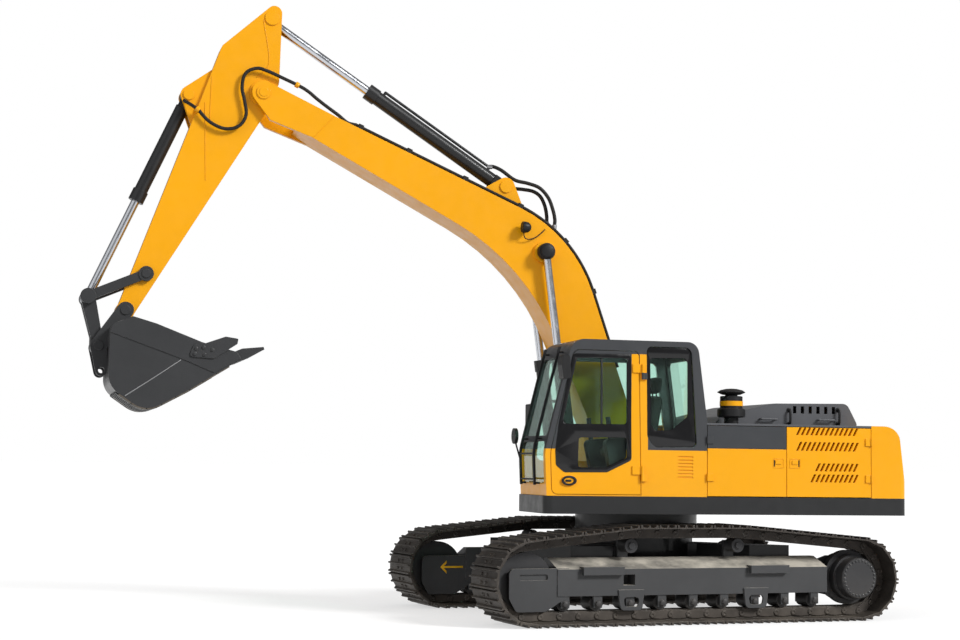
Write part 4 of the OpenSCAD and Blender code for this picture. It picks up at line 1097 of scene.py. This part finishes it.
    def dress(self) -> None:
        """Adds the chain's links, the shoe and hub bolts, the arrow and the rollers' caps."""
        links = [spot for across in (self.chain_half, -self.chain_half)
                 for spot in self.spots(0.0, -self.link_middle, across, True)]
        self.repeater.scatter("chain_links", self.link_form(), links, Paint.TRACK, self.body)
        bolts = [spot for share in self.bolt_shares for across in (-self.bolt_half, self.bolt_half)
                 for spot in self.spots(share, -0.5, across, False)]
        self.repeater.scatter("shoe_bolts", self.shaper.bolt(15), bolts, Paint.TRACK, self.body, math.tau, 3)
        ring, caps = [], []
        half = self.wheel_base / 2
        for side in (1, -1):
            turn = facing(track_way(0, side, 0), track_way(1, 0, 0))
            for angle in turns(self.hub_bolts):
                x = -half + self.hub_ring * math.cos(angle)
                z = self.axle_z + self.hub_ring * math.sin(angle)
                ring.append(Spot(lower(x, side * (self.mid + self.hub_face), z), turn))
            for k in range(self.rollers):
                x = half - self.roller_start - k * (self.wheel_base - self.roller_ends) / (self.rollers - 1)
                y = side * (self.mid + self.frame_face - self.cap_depth)
                caps.append(Spot(lower(x, y, self.roller_z), turn))
        self.repeater.scatter("hub_bolts", self.shaper.bolt(11), ring, Paint.FRAME, self.body, math.tau, 5)
        # The arrow's yellow carries painted light that lifts it out of its shade.
        self.shaper.piece("travel_arrow", self.travel_arrow(), Paint.MARK, self.body)
        self.repeater.scatter("roller_caps", self.shaper.bolt(30), caps, Paint.CASTING, self.body, math.tau, 9)


@dataclass
class CabDress(Dress):
    """Black borders and bar of the panes and the door handle, in millimetres from the swing axis."""

    skin: float = 1415.0
    door_border: Outline = ((1214, 2828), (569, 2835), (556, 1711), (827, 1582), (1300, 1576), (1392, 1650),
                            (1400, 1803), (1362, 2100))
    door_upper: Outline = ((1171, 2781), (612, 2790), (610, 2092), (1326, 2084))
    door_lower: Outline = ((1143, 1944), (610, 1949), (608, 1737), (846, 1631), (1151, 1630))
    rear_border: Outline = ((388, 2921), (-116, 2921), (-180, 1864), (299, 1854), (376, 1962))
    rear_glass: Outline = ((347, 2800), (-48, 2812), (-76, 2760), (-78, 2184), (105, 2038), (290, 2027),
                           (330, 2090))
    grip: Outline = ((1226, 1478), (1290, 1478), (1290, 1500), (1226, 1500))
    bar: Outline = ((878, 2088), (900, 2088), (904, 2786), (882, 2786))

    def dress(self) -> None:
        """Adds the borders, the handle and the bar."""
        door = [rounded(self.door_border, 45), rounded(self.door_upper, 40), rounded(self.door_lower, 35)]
        border = self.shaper.plate(door, self.skin + 0.4, 4.0)
        self.shaper.piece("door_pane_border", border, Paint.GLOSS, "cab_door_body")
        rear = [rounded(self.rear_border, 50), rounded(self.rear_glass, 35)]
        border = self.shaper.plate(rear, self.skin - 15.5, 4.0)
        self.shaper.piece("rear_pane_border", border, Paint.GLOSS, "house")
        ring = [oval(1250, 1490, 84, 52), oval(1252, 1490, 52, 30)]
        handle = [self.shaper.plate(ring, self.skin + 13.5, 9.0, 3.0),
                  self.shaper.plate([rounded(self.grip, 9)], self.skin + 13.5, 12.0, 3.0)]
        self.shaper.piece("door_handle", self.shaper.joined(handle), Paint.PLASTIC, "cab_door_body")
        bar = self.shaper.plate([list(self.bar)], self.skin - 15.0, 8.0)
        self.shaper.piece("pane_bar", bar, Paint.GREY, "cab_door_body")


@dataclass
class SeatDress(Dress):
    """The driver's seat: padded base, back and head rest on a pedestal, in millimetres."""

    middle: float = 927.5
    floor: float = 1370.3
    swell: float = 0.016
    rest_swell: float = 0.01
    fill: float = 0.7
    seam: float = 0.59
    base: Outline = ((165, 390), (690, 385), (694, 478), (300, 488), (190, 480))
    back: Outline = ((190, 500), (310, 500), (215, 1035), (95, 1035))
    rest: Outline = ((95, 1075), (170, 1075), (150, 1245), (68, 1245))

    def at(self, x: float, y: float, z: float) -> Vector:
        """Place from the seat's middle and the cab's floor."""
        return upper(x, self.middle + y, self.floor + z)

    def pad(self, corners: Outline, half: float, crown: float) -> Mesh:
        """Stuffed pad: a closed profile in X and Z, pulled in at its ends and crowned.

        Args:
            corners: corners of the profile, in millimetres, height over the floor.
            half: half width.
            crown: how far the middle stands out, in metres.

        Returns:
            The pad.
        """
        form = bmesh.new()
        outline = rounded(corners, 38.0, 4)
        centre = Vector((sum(p[0] for p in outline), sum(p[1] for p in outline))) / len(outline)
        halves = (0.25, 0.56, self.seam, 0.62, 0.86, 0.97, 1.0)
        rings = []
        for share in (*(-s for s in reversed(halves)), 0.0, *halves):
            shrink = 1.0 - 0.16 * abs(share) ** 8
            channel = 0.965 if abs(share) == self.seam else 1.0
            ring = []
            for x, z in outline:
                away = Vector((x, z)) - centre
                bulge = away.normalized() * crown * MM * (1 - share * share) * 0.5
                spot = centre + away * shrink * channel + bulge
                ring.append(form.verts.new(self.at(spot.x, share * half, spot.y)))
            rings.append(ring)
        return self.shaper.skin(form, rings, True, 80.0)

    def dress(self) -> None:
        """Adds the seat in place of its plain solid."""
        for name, corners, half, crown in (("seat_pad", self.base, 236, self.swell),
                                           ("seat_back", self.back, 230, self.swell),
                                           ("head_rest", self.rest, 122, self.rest_swell)):
            piece = self.shaper.piece(name, self.pad(corners, half, crown), Paint.FABRIC, "house")
            if name == "seat_pad":
                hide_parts("seat_chair")
        post = [self.shaper.box(self.at(260, -170, 1), self.at(590, 170, 60)),
                self.shaper.box(self.at(320, -120, 50), self.at(540, 120, 330), 0.02),
                self.shaper.box(self.at(250, -190, 320), self.at(620, 190, 388))]
        post += [self.shaper.tube([self.at(120, y, 1000), self.at(125, y, 1110)], 0.009, 10) for y in (-60, 60)]
        self.shaper.piece("seat_pedestal", self.shaper.joined(post), Paint.PLASTIC, "house")


@dataclass
class ArmDress(Dress):
    """Hoses, ports, clamps, caps and weld seams of boom and arm, in millimetres from the swing axis."""

    hose_r: float = 0.019
    arch_r: float = 0.021
    cable_r: float = 0.006
    link_face: float = 0.2310
    rod_eye: Place = (2251, 345, 945)
    bend_hose: tuple[Place, ...] = (
        (5235, 150, 5520), (5160, 205, 5465), (5089, 226, 5412), (4957, 230, 5285), (4788, 230, 5222),
        (4641, 230, 5266), (4572, 230, 5388), (4591, 230, 5538), (4622, 232, 5690), (4588, 236, 5841),
        (4469, 236, 5905), (4356, 232, 5886), (4185, 226, 5821), (4000, 224, 5745), (3898, 222, 5690),
        (3800, 221, 5615), (3690, 220, 5537), (3560, 220, 5450), (3455, 220, 5372), (3354, 220, 5352))
    arches: tuple[tuple[Place, ...], ...] = (
        ((1782, 0, 5007), (1730, 10, 5010), (1640, 40, 4965), (1497, 70, 4862), (1348, 90, 4828),
         (1216, 110, 4780), (1115, 120, 4672), (1062, 124, 4543), (1036, 125, 4430), (1040, 125, 4345),
         (1048, 125, 4268)),
        ((1524, 0, 4780), (1460, 10, 4772), (1380, 30, 4765), (1272, 50, 4745), (1190, 58, 4690),
         (1138, 60, 4590), (1114, 60, 4480), (1112, 60, 4400), (1118, 60, 4312)))
    lamp_cable: tuple[Place, ...] = (
        (1450, 320, 4255), (1452, 318, 4205), (1430, 305, 4172), (1373, 285, 4166), (1300, 272, 4194),
        (1240, 268, 4240), (1190, 262, 4290))
    clamps: tuple[tuple[str, Place, Place], ...] = (
        ("arm", (5089, 226, 5412), (5160, 205, 5465)), ("boom", (4020, 224, 5753), (3898, 222, 5690)))
    seam_side: float = 175.5
    seam_lines: tuple[Outline, ...] = (
        ((-700, 415), (-330, 120), (-120, 150)), ((150, 555), (560, 330)), ((430, 470), (1150, 20)))

    def hose(self, name: str, points: tuple[Place, ...], radius: float,
             body: str | None) -> bpy.types.Object:
        """Adds one free hose.

        Args:
            name: the hose's name.
            points: points that it passes.
            radius: its radius in metres.
            body: the body that it rides on, or None where it crosses a joint.

        Returns:
            The hose.
        """
        path = smooth([upper(*p) for p in points])
        piece = self.shaper.piece(name, self.shaper.tube(path, radius), Paint.RUBBER, body)
        return piece

    def dress(self) -> None:
        """Adds everything on the working arm."""
        bent = self.hose("bucket_hose", self.bend_hose, self.hose_r, None)
        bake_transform(bent)
        for number, points in enumerate(self.arches, 1):
            arch = self.hose(f"arm_cylinder_hose_{number}", points, self.arch_r, None)
            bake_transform(arch)
        self.hose("lamp_cable", self.lamp_cable, self.cable_r, "boom_body")
        self.fittings()
        self.caps()
        self.seams()

    def fitting(self, profile: Loop, at: Place, toward: Place) -> Mesh:
        """Turned fitting at one point of a hose, facing another."""
        place = upper(*at)
        return self.shaper.lathe(profile, place, (upper(*toward) - place).normalized(), 20)

    def fittings(self) -> None:
        """Ports at both ends of the cylinder hoses and clamps of the bucket hose."""
        port = [(0, -4), (34, -4), (34, 22), (30, 26), (27, 30), (27, 92), (24, 96), (0, 96)]
        barrel_port = [(0, -24), (24, -24), (26, -18), (26, 36), (0, 36)]
        clamp = [(20, -22), (30, -22), (32, -18), (32, 18), (30, 22), (20, 22), (20, -22)]
        ports = [self.fitting(port, points[-1], points[-2]) for points in self.arches]
        self.shaper.piece("hose_ports", self.shaper.joined(ports), Paint.STEEL, "boom_body")
        ports = [self.fitting(barrel_port, points[0], points[1]) for points in self.arches]
        self.shaper.piece("barrel_ports", self.shaper.joined(ports), Paint.STEEL, "arm_barrel_body")
        for name, at, toward in self.clamps:
            ring = self.fitting(clamp, at, toward)
            self.shaper.piece(f"hose_clamp_{name}", ring, Paint.YELLOW, f"{name}_body")

    def caps(self) -> None:
        """Black caps on the boom cylinders' rod eyes and dark ones on the pin of the side links."""
        eye = [(0, 78), (62, 78), (72, 74), (78, 66), (78, 48), (90, 46), (94, 40), (94, -40), (90, -45),
               (70, -45)]
        u, out, v = self.rod_eye
        links = []
        for name, side in (("left", 1), ("right", -1)):
            axis = Vector((0, side, 0))
            cap = self.shaper.lathe(eye, along(FOOT, NOSE, u, side * out, v), axis)
            self.shaper.piece(f"rod_eye_cap_{name}", cap, Paint.PLASTIC, f"boom_rod_{name}_body")
            at = JOINTS["side_links_turn"].copy()
            at.y = side * self.link_face
            links.append(self.shaper.lathe([(0, 12), (44, 12), (50, 7), (50, -1), (0, -1)], at, axis, 32))
        self.shaper.piece("side_link_caps", self.shaper.joined(links), Paint.BUCKET, "side_links_body")

    def seams(self) -> None:
        """Weld seams along the plates of the arm."""
        beads = []
        for line in self.seam_lines:
            for side in (1, -1):
                path = [along(NOSE, TIP, u, side * self.seam_side, v) for u, v in line]
                beads.append(self.shaper.tube(smooth(path, 0.05), 0.006, 8))
        self.shaper.piece("arm_seams", self.shaper.joined(beads), Paint.YELLOW, "arm_body")


@dataclass
class BucketDress(Dress):
    """Wear plates, weld lines and bolts of the bucket, in millimetres from the tip pin."""

    body: str = "bucket_body"
    half: float = 600.0
    cutter: float = 25.0
    corners: Outline = ((-1190, -505), (-640, -850), (-210, -1085), (175, -820), (170, -180), (-60, -92),
                        (-300, -160), (-779, -342), (-1145, -434))
    radii: tuple[float, ...] = (0.0, 300.0, 260.0, 220.0, 90.0, 0.0, 300.0, 300.0, 30.0)
    first: float = 150.0
    pitch: float = 162.0
    gap: float = 9.0
    plates: int = 8
    reach: float = 270.0
    weld: Outline = ((-560, -532), (-270, -735), (5, -920))
    bolts: Outline = ((-712, -412), (-700, -468), (-790, -395), (-800, -470), (-880, -420))

    def point(self, path: list[Vector], t: float, out: float) -> tuple[float, float]:
        """Place on the bottom, moved outward.

        Args:
            path: the bucket's outline.
            t: distance along it.
            out: distance outward from it.

        Returns:
            The place, in millimetres from the swing axis.
        """
        for a, b in zip(path, path[1:]):
            span = (b - a).length
            if t <= span and span > 0:
                break
            t -= span
        way = (b - a).normalized()
        spot = a + way * t + Vector((way.y, -way.x)) * out
        return (TIP.x - SWING.x) * MM + spot.x, TIP.z * MM + spot.y

    def dress(self) -> None:
        """Adds the plates along both edges of the bottom, the weld lines and the cutters' bolts."""
        path = [Vector(p) for p in rounded(self.corners, self.radii, 8)]
        meshes = []
        for number in range(self.plates):
            start = self.first + number * self.pitch
            steps = [start + (self.pitch - self.gap) * k / 4 for k in range(5)]
            loop = [self.point(path, t, -5) for t in steps] + [self.point(path, t, 12) for t in reversed(steps)]
            for y in (self.half - self.reach - 1, 1 - self.half):
                meshes.append(self.shaper.plate([loop], y, self.reach, 2.5))
        self.shaper.piece("bucket_wear_plates", self.shaper.joined(meshes), Paint.WEAR, self.body)
        beads, spots = [], []
        for side in (1, -1):
            ends = [TIP + Vector((u / MM, side * (self.half + 0.5) / MM, v / MM)) for u, v in self.weld]
            beads.append(self.shaper.tube(smooth(ends, 0.05), 0.006, 8))
            turn = facing(Vector((0, side, 0)), Vector((1, 0, 0)))
            y = side * (self.half + self.cutter - 0.5)
            spots += [Spot(TIP + Vector((u, y, v)) / MM, turn) for u, v in self.bolts]
        self.shaper.piece("bucket_seams", self.shaper.joined(beads), Paint.STEEL, self.body)
        self.repeater.scatter("cutter_bolts", self.shaper.bolt(17), spots, Paint.BUCKET, self.body, math.tau, 4)


@dataclass
class HouseDress(Dress):
    """Latches of the left doors, hood grips and precleaner band, in millimetres from the swing axis."""

    skin: float = 1415.0
    latch_z: float = 1700.0
    latches: tuple[tuple[float, int, str], ...] = (
        (-1125.0, 1, "service_door_body"), (-1319.0, -1, "cooler_door_body"))
    cleaner: Place = (-712.0, 1090.0, 2122.0)
    band: Outline = ((122, 196), (127, 198), (127, 250), (122, 252), (122, 196))
    hood_side: float = 840.0
    grips: Outline = ((-1508, 2221), (-2107, 2233))
    grip_bend: Outline = ((-2, -78), (32, -74), (44, -50), (46, 0), (44, 50), (32, 74), (-2, 78))
    grip_foot: Outline = ((0, -1), (26, -1), (26, 8), (22, 12), (0, 12))

    def latch(self, number: int, x: float, way: int, body: str) -> None:
        """Adds one latch: its rim and its slot.

        Args:
            number: which latch it is.
            x: its middle.
            way: side of the slot, 1 to the front and -1 to the rear.
            body: the door that it rides on.
        """
        z, face = self.latch_z, self.skin - 0.5
        rim, hole = (rounded([(x - a, z - b), (x + a, z - b), (x + a, z + b), (x - a, z + b)], radius)
                     for a, b, radius in ((62, 52, 8), (57, 47, 6)))
        far, near = x + way * 53, x + way * 40
        slot = rounded([(far, z - 36), (near, z - 36), (near, z + 36), (far, z + 36)], 3)
        frame_plate = self.shaper.plate([rim, hole], face, 4.0)
        self.shaper.piece(f"door_latch_{number}", frame_plate, Paint.YELLOW, body)
        dark = self.shaper.plate([slot], face, 2.0, 0.5)
        self.shaper.piece(f"latch_slot_{number}", dark, Paint.PLASTIC, body)

    def dress(self) -> None:
        """Adds the latches, the grips and the band."""
        for number, latch in enumerate(self.latches, 1):
            self.latch(number, *latch)
        loops = []
        for x, height in self.grips:
            path = [upper(x, self.hood_side + y, height + z) for y, z in self.grip_bend]
            loops.append(self.shaper.tube(smooth(path), 0.014, 12))
            for end in (self.grip_bend[0][1], self.grip_bend[-1][1]):
                foot = upper(x, self.hood_side, height + end)
                loops.append(self.shaper.lathe(self.grip_foot, foot, Vector((0, 1, 0)), 18))
        self.shaper.piece("hood_grips", self.shaper.joined(loops), Paint.PLASTIC, "hood_body")
        band = self.shaper.lathe(self.band, upper(*self.cleaner), UP)
        self.shaper.piece("precleaner_band", band, Paint.YELLOW, "house")


def main() -> None:
    """Builds the scene in order."""
    logging.basicConfig(level=logging.INFO, format="%(message)s")
    bpy.context.scene.view_settings.view_transform = "Standard"
    Viewpoint().build()
    shop = PaintShop()
    CadCoats().dress(shop)
    shaper = Shaper(shop)
    repeater = Repeater(shaper)
    for part in (TrackDress, CabDress, SeatDress, ArmDress, BucketDress, HouseDress):
        part(shaper, repeater).dress()
    Studio().build()


if __name__ == "__main__":
    main()
